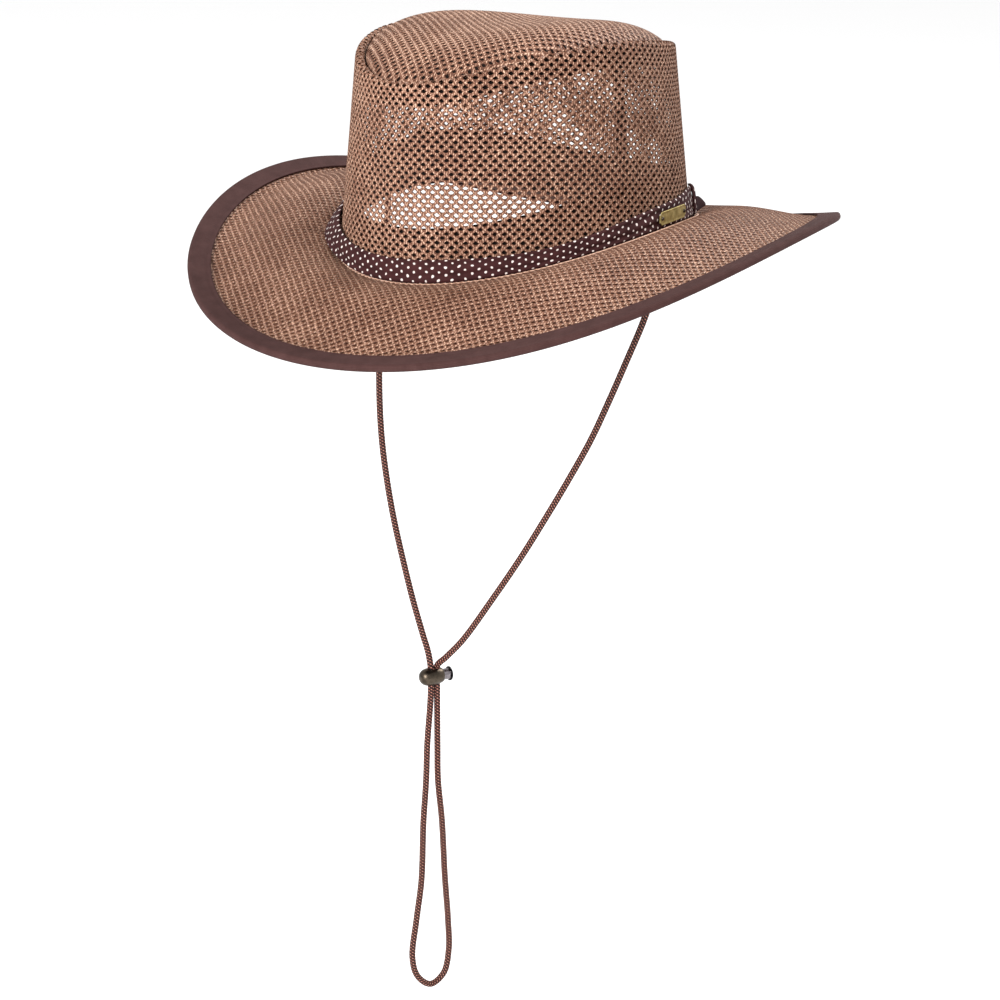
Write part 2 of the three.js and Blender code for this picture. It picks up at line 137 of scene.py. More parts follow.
def apply_modifier(piece, kind, **settings):
    select_only(piece)
    modifier = piece.modifiers.new(kind.title(), kind)
    for name, value in settings.items():
        setattr(modifier, name, value)
    bpy.ops.object.modifier_apply(modifier=modifier.name)


def smooth(piece, degrees=40):
    select_only(piece)
    bpy.ops.object.shade_smooth_by_angle(angle=math.radians(degrees))


def report(piece):
    triangles = sum(len(face.vertices) - 2 for face in piece.data.polygons)
    print(piece.name, "has", triangles, "triangles")


# %% Helpers for materials
def linear(colour):
    """A colour such as "8a5b45", as linear red, green, blue and a full alpha."""
    values = [int(colour[i : i + 2], 16) / 255 for i in (0, 2, 4)]
    return [v / 12.92 if v <= 0.04045 else ((v + 0.055) / 1.055) ** 2.4 for v in values] + [1]


def set_stops(elements, stops):
    """Gives a colour ramp its stops, each a position and a colour."""
    while len(elements) < len(stops):
        elements.new(0.5)
    for element, (position, colour) in zip(elements, stops):
        element.position = position
        element.color = linear(colour)


def node(tree, kind, settings=(), inputs=(), output=0):
    """Adds a node of a kind and returns one of its outputs.

    The settings are a dict, or the name of an operation. Each input is a value, or a socket to link from.
    """
    made = tree.nodes.new("ShaderNode" + kind)
    if isinstance(settings, str):
        settings = {"operation": settings}
    if isinstance(inputs, list):
        inputs = dict(enumerate(inputs))
    for name, value in dict(settings).items():
        if name == "stops":
            set_stops(made.color_ramp.elements, value)
        else:
            setattr(made, name, value)
    for socket, value in dict(inputs).items():
        if isinstance(value, bpy.types.NodeSocket):
            tree.links.new(value, made.inputs[socket])
        else:
            made.inputs[socket].default_value = value
    return made.outputs[output]


def new_material(name, values):
    """A material with one Principled shader, whose sockets take the values."""
    made = bpy.data.materials.new(name)
    made.use_nodes = True
    tree = made.node_tree
    shader = tree.nodes["Principled BSDF"]
    for socket, value in values.items():
        shader.inputs[socket].default_value = value
    return made, tree, shader


def uv_of(tree, wander=0.0, size=1.0):
    """The UV map's X and Y, each wandering by up to half of an amount over patches of a size in mm."""
    laid = node(tree, "UVMap", {"uv_map": "UVMap"})
    if wander:
        here = node(tree, "TexCoord", output="Object")
        values = {"Vector": here, "Scale": 1 / (size * MM), "Detail": 1.0}
        drift = node(tree, "TexNoise", {}, values, "Color")
        drift = node(tree, "VectorMath", "SUBTRACT", [drift, (0.5, 0.5, 0.5)])
        laid = node(tree, "VectorMath", "MULTIPLY_ADD", [drift, (wander, wander, 0), laid])
    return [node(tree, "SeparateXYZ", {}, [laid], axis) for axis in "XY"]


def dress(tree, shader, colour, relief, strength, depth):
    """Links a colour, and a relief of a depth in mm, to the shader."""
    values = {"Height": relief, "Strength": strength, "Distance": depth * MM}
    tree.links.new(colour, shader.inputs["Base Color"])
    tree.links.new(node(tree, "Bump", {}, values), shader.inputs["Normal"])


# %% [markdown]
# ## The hat's curves
# The hat is an oval that rises at the sides and dips at the front and back, as an outback hat does.
# Each curve is a level plus a few waves round the hat, so any piece can be laid on it by angle.

# %% Curves round the hat
HALF_WIDTH = 86
HALF_LENGTH = 105
CURVES = {
    "foot": (0, [(-4.4, -1.3), (-8.8, 1.5), (1.3, 0)]),
    "seam": (97.6, [(1.5, 1.6), (-7.9, 1.6), (-1, 0.5)]),
    "brim_edge": (-9.5, [(-8.9, -3.1), (-21.5, -3.9), (1.7, 1.3)]),
    "brim_width": (77.2, [(1.1, 1.2), (1.2, -2.8), (0, 0)]),
    "brim_sag": (3.5, [(0.5, -0.9), (-1.4, 0.6), (0.6, -0.8)]),
}
TAPER = 8.9
WALL_MIDDLE = -0.25
RIM_RADIUS = 1.9
RIM_SINK = 0.6
FOOT_DROP = 1.6
CLOTH = 1.5
GAP = 0.3


def around(curve, angle):
    level, waves = CURVES[curve]
    value = level + 0 * angle
    for times, (cosine, sine) in enumerate(waves, 1):
        value = value + cosine * np.cos(times * angle) + sine * np.sin(times * angle)
    return value


def outward(angle):
    """The level direction straight out from the hat's oval."""
    x = HALF_LENGTH * np.sin(angle)
    y = -HALF_WIDTH * np.cos(angle)
    length = np.hypot(x, y)
    return x / length, y / length


def place(angle, out, z):
    """Points in metres, from the angle, how far outside the oval they lie, and their height in mm."""
    x, y = outward(angle)
    x = HALF_WIDTH * np.sin(angle) + x * out
    y = -HALF_LENGTH * np.cos(angle) + y * out
    return np.stack([x, y, z], -1) * MM


def lean(angle, z):
    foot = around("foot", angle)
    return TAPER * (z - foot) / (around("seam", angle) - foot)


def even_angles(share):
    """Angles evenly spaced along the oval, from a share of the way round that starts at the back."""
    angle = np.linspace(-np.pi, np.pi, 1441)
    step = np.hypot(HALF_WIDTH * np.cos(angle), HALF_LENGTH * np.sin(angle))
    run = np.concatenate([[0], np.cumsum((step[1:] + step[:-1]) / 2)])
    return np.interp(share, run / run[-1], angle)


every_angle = np.linspace(-np.pi, np.pi, 721)
oval = place(every_angle, 0, 0 * every_angle)
HEAD_ROUND = np.linalg.norm(np.diff(oval, axis=0), axis=1).sum() / MM
print("head opening, mm round:", round(HEAD_ROUND))

# %% [markdown]
# ## The chin cord
# A limp braided cord leaves the hat inside both sides of the brim, passes twice through the cord lock and
# makes one loop below it. A smooth line through the route's points is the cord's middle. The tube is
# made round that line, ring by ring, with the braid's strands as real relief, because a tube from a curve
# could not carry a braid that follows it.

# %% The cord's route
CORD_DIAMETER = 3.6
CORD_ROUTE = np.array(
    [
        [82.8, 18, 5.6], [82.4, 18, -4], [79.4, 17.6, -20], [71.4, 16.5, -44.4], [61.7, 15.2, -67.3],
        [51.5, 13.9, -90.5], [40.5, 12.5, -114], [27.1, 10.8, -138.1], [12.6, 8.9, -162.6],
        [-2.8, 6.9, -187.5], [-19.9, 4.7, -213], [-38.5, 2.8, -239.1], [-49.3, 1.8, -250.8],
        [-56, 1.72, -257.4], [-56, 1.71, -261.2], [-56, 1.71, -265], [-56, 1.71, -270.5],
        [-56, 1.75, -286], [-56, 1.8, -305], [-55.9, 2, -325], [-54.9, 4.2, -350], [-54.2, 5.8, -384],
        [-53.4, 7.6, -411], [-53.2, 7.9, -430], [-54.6, 4.8, -443.5], [-58, -2.8, -448.6],
        [-61.4, -10.9, -442], [-62.9, -13.8, -430], [-61.8, -11.2, -407.5], [-60.4, -8.1, -384],
        [-59.8, -6.8, -350], [-59, -5.1, -325], [-58.6, -4.2, -302], [-57.9, -2.3, -280],
        [-57.6, -1.91, -270.5], [-57.6, -1.91, -265], [-57.6, -1.91, -261.2], [-57.8, -1.88, -257.2],
        [-60.2, -0.9, -249.5], [-63.7, -1, -240], [-70.3, -1.8, -219.5], [-76.2, -2.6, -197.9],
        [-81.8, -3.3, -175.4], [-86.1, -3.9, -152.8], [-89.1, -4.3, -130.2], [-90.5, -4.4, -105],
        [-90, -4.3, -72], [-87.6, -4, -36], [-84.6, -3.7, -8], [-84, -3.6, 7.6],
    ]
)


def smooth_line(points, spacing):
    """A line through the points, bent evenly at each, in steps of one spacing."""
    ends = [2 * points[0] - points[1], *points, 2 * points[-1] - points[-2]]
    fine = []
    for a, b, c, d in zip(ends, ends[1:], ends[2:], ends[3:]):
        t0, t1 = 0, np.linalg.norm(b - a) ** 0.5
        t2 = t1 + np.linalg.norm(c - b) ** 0.5
        t3 = t2 + np.linalg.norm(d - c) ** 0.5
        t = np.linspace(t1, t2, 24, endpoint=False)[:, None]
        ab = (t1 - t) / (t1 - t0) * a + (t - t0) / (t1 - t0) * b
        bc = (t2 - t) / (t2 - t1) * b + (t - t1) / (t2 - t1) * c
        cd = (t3 - t) / (t3 - t2) * c + (t - t2) / (t3 - t2) * d
        abc = (t2 - t) / (t2 - t0) * ab + (t - t0) / (t2 - t0) * bc
        bcd = (t3 - t) / (t3 - t1) * bc + (t - t1) / (t3 - t1) * cd
        fine.append((t2 - t) / (t2 - t1) * abc + (t - t1) / (t2 - t1) * bcd)
    fine = np.vstack([*fine, points[-1:]])
    run = np.concatenate([[0], np.cumsum(np.linalg.norm(np.diff(fine, axis=0), axis=1))])
    even = np.linspace(0, run[-1], round(run[-1] / spacing) + 1)
    return np.stack([np.interp(even, run, column) for column in fine.T], -1), run[-1]


RING_STEP = 0.5
cord_line, cord_run = smooth_line(CORD_ROUTE, RING_STEP)
print("cord length in mm:", round(cord_run, 1))

# %% The braided tube
STRANDS = 4
STRAND_RUN = 1.8


def braid_height(turn, run):
    """How high the braid's strands stand, from 0 to 1, by turns round the cord and mm along it."""
    one = STRANDS * turn + run / STRAND_RUN
    other = STRANDS * turn - run / STRAND_RUN
    one_on_top = (np.floor(one) + np.floor(other)) % 2 == 0
    across = np.where(one_on_top, one, other) % 1
    return np.sin(np.pi * across) ** 0.6


def tube(name, line, radius, sides, height=None, relief=0.0):
    """A round tube along a line of points in mm, with turns and mm along it as its UV map."""
    along = np.gradient(line, axis=0)
    along /= np.linalg.norm(along, axis=1)[:, None]
    side = np.cross(along[0], [0, 1, 0])
    sides_at = []
    for direction in along:
        side = side - direction * (side @ direction)
        side = side / np.linalg.norm(side)
        sides_at.append(side)
    sides_at = np.array(sides_at)
    others_at = np.cross(along, sides_at)
    turn = np.arange(sides) / sides
    run = np.concatenate([[0], np.cumsum(np.linalg.norm(np.diff(line, axis=0), axis=1))])
    reach = np.full((len(line), sides), float(radius))
    if height:
        reach += relief * (height(turn[None, :], run[:, None]) - 1)
    circle = (
        np.cos(2 * np.pi * turn)[None, :, None] * sides_at[:, None]
        + np.sin(2 * np.pi * turn)[None, :, None] * others_at[:, None]
    )
    points = (line[:, None] + reach[:, :, None] * circle).reshape(-1, 3) * MM
    faces = []
    layout = []
    for i in range(len(line) - 1):
        for j in range(sides):
            k = (j + 1) % sides
            faces.append((i * sides + j, i * sides + k, (i + 1) * sides + k, (i + 1) * sides + j))
            layout += [(j / sides, run[i]), ((j + 1) / sides, run[i])]
            layout += [((j + 1) / sides, run[i + 1]), (j / sides, run[i + 1])]
    for end in (0, len(line) - 1):
        cap = [end * sides + j for j in range(sides)]
        faces.append(tuple(reversed(cap)) if end == 0 else tuple(cap))
        layout += [(0, run[end])] * sides
    mesh = bpy.data.meshes.new(name)
    mesh.from_pydata(points.tolist(), [], faces)
    mesh.uv_layers.new(name="UVMap").data.foreach_set("uv", np.array(layout, float).ravel())
    piece = bpy.data.objects.new(name, mesh)
    bpy.context.collection.objects.link(piece)
    in_edit_mode(piece, face_outwards)
    smooth(piece, 60)
    return piece


chin_cord = tube("braided_chin_cord", cord_line, CORD_DIAMETER / 2 + 0.05, 24, braid_height, 0.22)
report(chin_cord)

# %% [markdown]
# ## The knit
# The cloth is a warp knit of thick copper-coloured yarn with a staggered grid of lozenge holes. Real holes
# are needed, because light and the far side show through them. One stitch is modelled from a six-cornered
# disc: its middle is inset and cut out, its outer corners are raised into a ridge, and the same is
# mirrored below. Arrays repeat the stitch into flat cloth, whose points are then laid on the hat.

# %% One stitch of the knit
STITCH_ROW = 2.32


def stitch(name, pitch, row, hole_half, hole_rise, thick, dip, slant):
    """One hole of the knit with half of the yarn round it, and its staggered neighbour.

    The slant is how far the hole rises for each mm across.
    """
    tip = pitch / 4 + row * row / pitch
    shoulder = pitch / 2 - tip
    high = thick / 2
    low = high * dip
    ridge = [
        (shoulder, row, low), (-shoulder, row, high), (-tip, 0, low),
        (-shoulder, -row, high), (shoulder, -row, low), (tip, 0, high),
    ]
    peak, base = hole_half * 0.16, hole_half * 0.36
    hole = [
        (peak, hole_rise, 0), (-peak, hole_rise, 0), (-hole_half, 0, 0),
        (-base, -0.8 * hole_rise, 0), (base, -0.8 * hole_rise, 0), (hole_half, 0, 0),
    ]
    hole = [(x, y + slant * x, z) for x, y, z in hole]
    deselect()
    bpy.ops.mesh.primitive_circle_add(vertices=6, radius=pitch * MM, fill_type="NGON", calc_uvs=False)
    piece = bpy.context.object
    piece.name = name
    in_edit_mode(
        piece,
        lambda: bpy.ops.mesh.inset(thickness=pitch * MM / 3),
        lambda: bpy.ops.mesh.delete(type="ONLY_FACE"),
    )
    table = points_of(piece)
    reach = np.hypot(table[:, 0], table[:, 1])
    outside = reach > reach.mean()
    for chosen, corners in ((np.flatnonzero(outside), ridge), (np.flatnonzero(~outside), hole)):
        turn = (np.arctan2(table[chosen, 1], table[chosen, 0]) - 0.1) % (2 * np.pi)
        table[chosen[np.argsort(turn)]] = np.array(corners[-1:] + corners[:-1]) * MM
    move_points(piece, table)
    in_edit_mode(
        piece,
        bpy.ops.mesh.duplicate,
        lambda: bpy.ops.transform.resize(value=(1, 1, -1)),
        bpy.ops.mesh.flip_normals,
        select_all,
        merge_close,
        bpy.ops.mesh.duplicate,
        lambda: bpy.ops.transform.translate(value=(pitch / 2 * MM, row * MM, 0)),
        select_all,
        merge_close,
    )
    return piece


def knit_cloth(
    name, pitch, row, columns, rows, hole_half=1.62, hole_rise=1.04, thick=1.3, dip=0.62, slant=0.0
):
    """Flat cloth of columns by twice rows of holes, with its first corner at the origin."""
    piece = stitch(name, pitch, row, hole_half, hole_rise, thick, dip, slant)
    across = {"use_relative_offset": False, "use_constant_offset": True}
    apply_modifier(piece, "ARRAY", count=columns, constant_offset_displace=(pitch * MM, 0, 0), **across)
    apply_modifier(piece, "ARRAY", count=rows, constant_offset_displace=(0, 2 * row * MM, 0), **across)
    in_edit_mode(piece, merge_close)
    return piece


def finish_knit(piece, laid, waste, pitch, row):
    """Puts the flat cloth's points where they are laid, and cuts off the faces that are all waste.

    Its UV map counts stitches, across and up, so the yarn's pattern can follow the strands.
    """
    flat = points_of(piece)
    corners = np.empty(len(piece.data.loops), int)
    piece.data.loops.foreach_get("vertex_index", corners)
    yarn = piece.data.uv_layers.new(name="UVMap")
    yarn.data.foreach_set("uv", (flat[corners, :2] / MM / (pitch, 2 * row)).ravel())
    crest = piece.data.attributes.new("crest", "FLOAT", "POINT")
    crest.data.foreach_set("value", np.abs(flat[:, 2]) / np.abs(flat[:, 2]).max())
    move_points(piece, laid)
    cut = waste[corners.reshape(-1, 4)].all(axis=1)
    piece.data.polygons.foreach_set("select", np.zeros(len(cut), bool))
    select_only(piece)
    bpy.ops.object.mode_set(mode="EDIT")
    bpy.ops.mesh.select_all(action="DESELECT")
    bpy.ops.mesh.select_mode(type="FACE")
    bpy.ops.object.mode_set(mode="OBJECT")
    piece.data.polygons.foreach_set("select", cut)
    bpy.ops.object.mode_set(mode="EDIT")
    bpy.ops.mesh.delete(type="FACE")
    bpy.ops.mesh.select_mode(type="VERT")
    select_all()
    merge_close()
    bpy.ops.object.mode_set(mode="OBJECT")
    smooth(piece, 180)
    report(piece)


# %% [markdown]
# ## The crown's wall
# The wall is one strip of the knit, joined at the back. Its rows are not level: the strip was stretched
# over a form, so they sag away from the hat's front left and wave more at the back, and the foot and the
# top edge cut across them. The strip leans in, rolls over at the top and goes down into the seam.

# %% Lay the wall
WALL_COLUMNS = 112
BACK_WAVE = 5
SMOOTHEST = 0.63


def away(angle):
    """How far round from its smoothest place a row is, from 0 to 1."""
    return ((1 - np.cos(angle - SMOOTHEST)) / 2) ** 2


def row_sag(angle):
    """How high a row of the wall's knit lies at an angle, against its mean, in mm."""
    once = 6.8 * np.cos(angle) - 3.8 * np.sin(angle)
    twice = -1.7 * np.cos(2 * angle) + 3.8 * np.sin(2 * angle)
    return once + twice + BACK_WAVE * away(angle) * np.sin(3 * angle)


def ripples(angle, height, waves):
    """Small waves of the cloth, each of a size in mm, times round, and turn for each mm of height."""
    return sum(size * np.sin(times * angle + turn * height) for size, times, turn in waves)


def wall_at(angle, run, lift):
    """A point of the wall, by mm up its middle line from the foot, and lift out from that line."""
    foot = around("foot", angle) - FOOT_DROP
    top = around("seam", angle) - RIM_RADIUS - RIM_SINK
    straight = top - foot
    turn = np.clip((run - straight) / RIM_RADIUS, 0, np.pi)
    z = foot + np.minimum(run, straight)
    out = WALL_MIDDLE - lean(angle, z) + (np.cos(turn) - 1) * RIM_RADIUS + lift * np.cos(turn)
    return place(angle, out, z + np.sin(turn) * (RIM_RADIUS + lift))


def wall_length(angle):
    straight = around("seam", angle) - RIM_RADIUS - RIM_SINK - around("foot", angle) + FOOT_DROP
    return straight + np.pi * RIM_RADIUS


foot_rows = around("foot", every_angle) - FOOT_DROP - row_sag(every_angle)
lowest_row = foot_rows.min()
highest_row = (foot_rows + wall_length(every_angle)).max()
wall_pitch = HEAD_ROUND / WALL_COLUMNS
wall_rows = math.ceil((highest_row - lowest_row) / STITCH_ROW / 2) + 1
crown_wall = knit_cloth("knit_crown_wall", wall_pitch, STITCH_ROW, WALL_COLUMNS, wall_rows)
flat = points_of(crown_wall) / MM
angle = even_angles(flat[:, 0] / HEAD_ROUND % 1)
height = flat[:, 1]
mean_radius = np.hypot(HALF_WIDTH, HALF_LENGTH) / 2**0.5
slope = (row_sag(angle + 0.01) - row_sag(angle - 0.01)) / 0.02 / mean_radius
wilder = away(angle)
aside = ripples(angle, height, [(0.16, 37, 0.9), (0.12, 71, -0.5)])
aside = aside + wilder * ripples(angle, height, [(0.8, 23, 0.35), (0.5, 41, -0.5)])
leant = flat[:, 0] - slope * (height - height.mean()) + aside
angle = even_angles(leant / HEAD_ROUND % 1)
raised = ripples(angle, height, [(0.1, 53, -1.3), (0.08, 29, 0.7)])
raised = raised + wilder * ripples(angle, height, [(0.5, 31, -0.3), (0.4, 17, 0.6)])
run = height + raised + lowest_row + row_sag(angle) - around("foot", angle) + FOOT_DROP
limit = wall_length(angle)
waste = (run <= 0) | (run >= limit)
laid = wall_at(angle, np.clip(run, 0, limit), flat[:, 2])
finish_knit(crown_wall, laid, waste, wall_pitch, STITCH_ROW)

# %% [markdown]
# ## The crown's tip
# The tip is an oval of the same knit with its rows from side to side. It is puffed up, higher towards
# the front left, and its edge is tucked into the seam inside the wall's roll.

# %% Lay the tip
TIP_RISE = 13.8
TIP_FULLNESS = 5
TIP_FORWARD_SWELL = 4.3
TIP_LEFT_SWELL = 2
TIP_TUCK = 1.6
TIP_PITCH = 5.3
TIP_ROW = 2.4
TIP_EDGE = WALL_MIDDLE - TAPER - 2 * RIM_RADIUS - CLOTH / 2 - GAP


def tip_place(x, y):
    """The angle at which x, y lies from the middle, and its share of the way to the tip's edge."""
    angle = np.arctan2(x / HALF_WIDTH, -y / HALF_LENGTH)
    for _ in range(12):
        edge = place(angle, TIP_EDGE, 0 * angle) / MM
        angle = angle + np.arctan2(x, -y) - np.arctan2(edge[:, 0], -edge[:, 1])
    return angle, np.hypot(x, y) / np.hypot(edge[:, 0], edge[:, 1])


def tip_height(angle, part):
    level = CURVES["seam"][0]
    inner = level + (around("seam", angle) - level) * part**2
    aside = TIP_FORWARD_SWELL * np.cos(angle) + TIP_LEFT_SWELL * np.sin(angle)
    swell = aside * part * (1 - part**2)
    tuck = TIP_TUCK * np.clip((part - 0.965) / 0.035, 0, 1) ** 2
    return inner + TIP_RISE * (1 - part**TIP_FULLNESS) + swell - tuck


tip_columns = math.ceil(2 * HALF_WIDTH / TIP_PITCH)
tip_rows = math.ceil(HALF_LENGTH / TIP_ROW)
tip_hole = {"hole_half": 1.4, "hole_rise": 0.82, "thick": 1.1, "dip": 0.92}
crown_tip = knit_cloth("knit_crown_tip", TIP_PITCH, TIP_ROW, tip_columns, tip_rows, **tip_hole)
flat = points_of(crown_tip) / MM
x = flat[:, 0] - tip_columns * TIP_PITCH / 2
y = flat[:, 1] - tip_rows * TIP_ROW
angle, part = tip_place(x, y)
waste = part >= 1
edge = place(angle, TIP_EDGE, 0 * angle) / MM
x = np.where(waste, edge[:, 0], x)
y = np.where(waste, edge[:, 1], y)
z = tip_height(angle, np.minimum(part, 1)) - CLOTH / 2 + flat[:, 2]
finish_knit(crown_tip, np.stack([x, y, z], -1) * MM, waste, TIP_PITCH, TIP_ROW)

# %% [markdown]
# ## The brim
# The brim is the same knit on a thin dark backing, which is why its holes look dark. They are slanted and
# smaller than the wall's. The holes show on both faces, so the backing sheet lies in the cloth's middle.
# The rows run from side to side, and the cloth bows up by the crown and falls to its edge.

# %% Lay the brim
BRIM_CLOTH = 1.4
BRIM_INNER = 0.85
BRIM_FLAT = 3.5
BRIM_BOW = 5.5
BOW_PEAK = 4 / 27
SAG_PEAK = 27 / 256
STRAIGHT_FROM = 0.83
BRIM_PITCH = 4.95
BRIM_ROW = 2.2


def brim_height(angle, out):
    """The height of the brim's middle: bowed up by the crown, sagging further out, straight at its edge."""
    part = np.clip((out - BRIM_FLAT) / (around("brim_width", angle) - BRIM_FLAT), 0, 1)
    start = around("foot", angle) - BRIM_CLOTH / 2
    edge = around("brim_edge", angle)

    def curved(share):
        bow = BRIM_BOW / BOW_PEAK * share * (1 - share) ** 2
        sag = around("brim_sag", angle) / SAG_PEAK * share**3 * (1 - share)
        return start + (edge - start) * share + bow - sag

    pressed = curved(np.full_like(part, STRAIGHT_FROM))
    flat_part = (part - STRAIGHT_FROM) / (1 - STRAIGHT_FROM)
    return np.where(part < STRAIGHT_FROM, curved(part), pressed + (edge - pressed) * flat_part)


def brim_at(angle, out, lift):
    """A point of the brim, by mm out from the oval, and lift square to its surface."""
    slope = brim_height(angle, out + 0.5) - brim_height(angle, out - 0.5)
    steep = np.hypot(1, slope)
    return place(angle, out - lift * slope / steep, brim_height(angle, out) + lift / steep)


def oval_place(x, y):
    """The angle and the mm out from the oval of points x, y."""
    angle = np.arctan2(x / HALF_WIDTH, -y / HALF_LENGTH)
    for _ in range(30):
        out_x, out_y = outward(angle)
        off_x = x - HALF_WIDTH * np.sin(angle)
        off_y = y + HALF_LENGTH * np.cos(angle)
        reach = off_x * out_x + off_y * out_y
        aside = off_y * out_x - off_x * out_y
        speed = np.hypot(HALF_WIDTH * np.cos(angle), HALF_LENGTH * np.sin(angle))
        angle = angle + 0.8 * aside / (speed + np.maximum(reach, 0))
    return angle, reach


brim_columns = math.ceil((2 * HALF_WIDTH + 160) / BRIM_PITCH)
brim_rows = math.ceil((2 * HALF_LENGTH + 164) / BRIM_ROW / 2)
brim_hole = {"hole_half": 1.2, "hole_rise": 0.74, "slant": 0.45}
brim = knit_cloth("knit_brim", BRIM_PITCH, BRIM_ROW, brim_columns, brim_rows, **brim_hole)
flat = points_of(brim) / MM
x = flat[:, 0] - brim_columns * BRIM_PITCH / 2
y = flat[:, 1] - brim_rows * BRIM_ROW
angle, out = oval_place(x, y)
outer = around("brim_width", angle) - 0.2
waste = (out <= BRIM_INNER) | (out >= outer)
laid = brim_at(angle, np.clip(out, BRIM_INNER, outer), flat[:, 2])
finish_knit(brim, laid, waste, BRIM_PITCH, BRIM_ROW)

# %% [markdown]
# ## Strips of cloth
# The band, the binding, the tapes and the sweatband are strips. Each starts as a flat grid, as cloth is
# cut, is laid on a curved surface point by point, and then gets its thickness.

# %% Helpers for strips
def cut_strip(name, columns, rows):
    """A flat strip, one across and one up, in columns and rows."""
    deselect()
    parts = {"x_subdivisions": columns, "y_subdivisions": rows}
    bpy.ops.mesh.primitive_grid_add(**parts, size=1, location=(0.5, 0.5, 0))
    bpy.ops.object.transform_apply(location=True, rotation=False, scale=False)
    piece = bpy.context.object
    piece.name = name
    return piece


def lay_strip(piece, surface, size, thickness, offset=0.0, rounding=0.15):
    """Lays a strip on surface(across, up), with its size in mm as its UV map, and gives it thickness."""
    flat = points_of(piece)
    corners = np.empty(len(piece.data.loops), int)
    piece.data.loops.foreach_get("vertex_index", corners)
    piece.data.uv_layers.active.data.foreach_set("uv", (flat[corners, :2] * size).ravel())
    move_points(piece, surface(flat[:, 0], flat[:, 1]))
    in_edit_mode(piece, merge_close)
    apply_modifier(piece, "SOLIDIFY", thickness=thickness * MM, offset=offset)
    if rounding:
        bevel = {"width": rounding * MM, "segments": 1, "limit_method": "ANGLE"}
        apply_modifier(piece, "BEVEL", angle_limit=math.radians(60), **bevel)
    smooth(piece, 50)
    report(piece)


# %% [markdown]
# ## The backings and the binding
# The brim's backing is a thin dark sheet in its middle, and the tip has one too, whose edge hangs down as a
# short skirt behind the seam. The binding is a strip of plain woven cotton folded over the brim's edge and
# sewn through near its inner edges, where the stitches pull it in a little.

# %% Lay the backings and the binding
BINDING_WIDTH = 11
BINDING_CLOTH = 1.0
BINDING_CAP = 0.8


def backing_surface(across, up):
    angle = even_angles(across)
    outer = around("brim_width", angle) - 0.6
    return brim_at(angle, BRIM_INNER + 0.2 + (outer - BRIM_INNER - 0.2) * up, 0)


backing = cut_strip("brim_backing", 192, 14)
lay_strip(backing, backing_surface, (HEAD_ROUND, 75), 0.25, rounding=0)


def tip_backing_surface(across, up):
    angle = even_angles(across)
    part = 0.02 + up
    edge = place(angle, TIP_EDGE, 0 * angle) / MM
    skirt = 3 * np.clip((part - 0.975) / 0.02, 0, 1)
    z = tip_height(angle, part) - CLOTH / 2 - skirt
    return np.stack([edge[:, 0] * part, edge[:, 1] * part, z], -1) * MM


# The tip's backing wears the near-black twill, whose colour is partly painted shade
tip_backing = cut_strip("tip_backing", 128, 20)
lay_strip(tip_backing, tip_backing_surface, (HEAD_ROUND, 90), 0.25, rounding=0)

binding_rise = BRIM_CLOTH / 2 + GAP + BINDING_CLOTH / 2
binding_turn = np.pi * (BINDING_CAP + binding_rise) / 2
binding_run = 2 * BINDING_WIDTH + binding_turn
brim_round = HEAD_ROUND + 2 * np.pi * 77


def binding_surface(across, up):
    angle = even_angles(across)
    width = around("brim_width", angle)
    inner = BRIM_FLAT + (width - BRIM_FLAT) * STRAIGHT_FROM
    rise = brim_height(angle, width) - brim_height(angle, inner)
    steep = np.hypot(width - inner, rise)
    along_out, along_up = (width - inner) / steep, rise / steep
    run = up * binding_run
    turn = np.clip((run - BINDING_WIDTH) / binding_turn, 0, 1) * np.pi - np.pi / 2
    below = np.minimum(run - BINDING_WIDTH, 0)
    above = np.maximum(run - BINDING_WIDTH - binding_turn, 0)
    from_edge = BINDING_WIDTH + np.where(run < binding_run / 2, below, -above)
    sewn = 0.22 * np.exp(-(((from_edge - 2) / 0.7) ** 2))
    pucker = 0.06 * np.sin(2 * np.pi * across * 420) * np.clip(1 - from_edge / 6, 0, 1)
    reach = below - above + BINDING_CAP * np.cos(turn)
    lift = (binding_rise - sewn + pucker) * np.sin(turn)
    out = width + along_out * reach - along_up * lift
    return place(angle, out, brim_height(angle, width) + along_up * reach + along_out * lift)


binding = cut_strip("cotton_brim_binding", 840, 30)
lay_strip(binding, binding_surface, (brim_round, binding_run), BINDING_CLOTH)

# %% [markdown]
# ## The lining strips
# A sweatband runs round the inside of the foot, and narrow tapes cover the wall's two seams. Their
# near-black colour is partly dark dye and partly painted shade of the crown's inside, and makes the holes
# in front of them look dark.

# %% Lay the sweatband and the tapes
LINING = 1.2
SWEATBAND_HEIGHT = 28
TAPE_TOP = 2.9
TAPE_HEIGHT = 10
BACK_TAPE_WIDTH = 8
LINING_MIDDLE = WALL_MIDDLE - CLOTH / 2 - GAP - LINING / 2


def lining_surface(low, high, ripple):
    """A surface that hugs the wall's inside between two curves of height, with a sewn hem at its top."""

    def surface(across, up):
        angle = even_angles(across)
        z = low(angle) + (high(angle) - low(angle)) * up
        hem = 0.1 * np.cos(np.clip((1 - up) / 0.16, 0, 1) * np.pi)
        wave = ripple * np.sin(angle * 23) * np.sin(np.pi * up)
        return place(angle, LINING_MIDDLE - lean(angle, z) - hem - wave - 0.1, z)

    return surface


def foot_line(angle):
    return around("foot", angle) - FOOT_DROP


def sweatband_top(angle):
    return around("foot", angle) + SWEATBAND_HEIGHT


def tape_top(angle):
    return around("seam", angle) - TAPE_TOP


def tape_foot(angle):
    return tape_top(angle) - TAPE_HEIGHT


sweatband = cut_strip("twill_sweatband", 256, 18)
lay_strip(sweatband, lining_surface(foot_line, sweatband_top, 0.12), (HEAD_ROUND, 29.6), 0.9)
tip_tape = cut_strip("twill_tip_tape", 256, 8)
lay_strip(tip_tape, lining_surface(tape_foot, tape_top, 0.08), (HEAD_ROUND, TAPE_HEIGHT), 0.9)


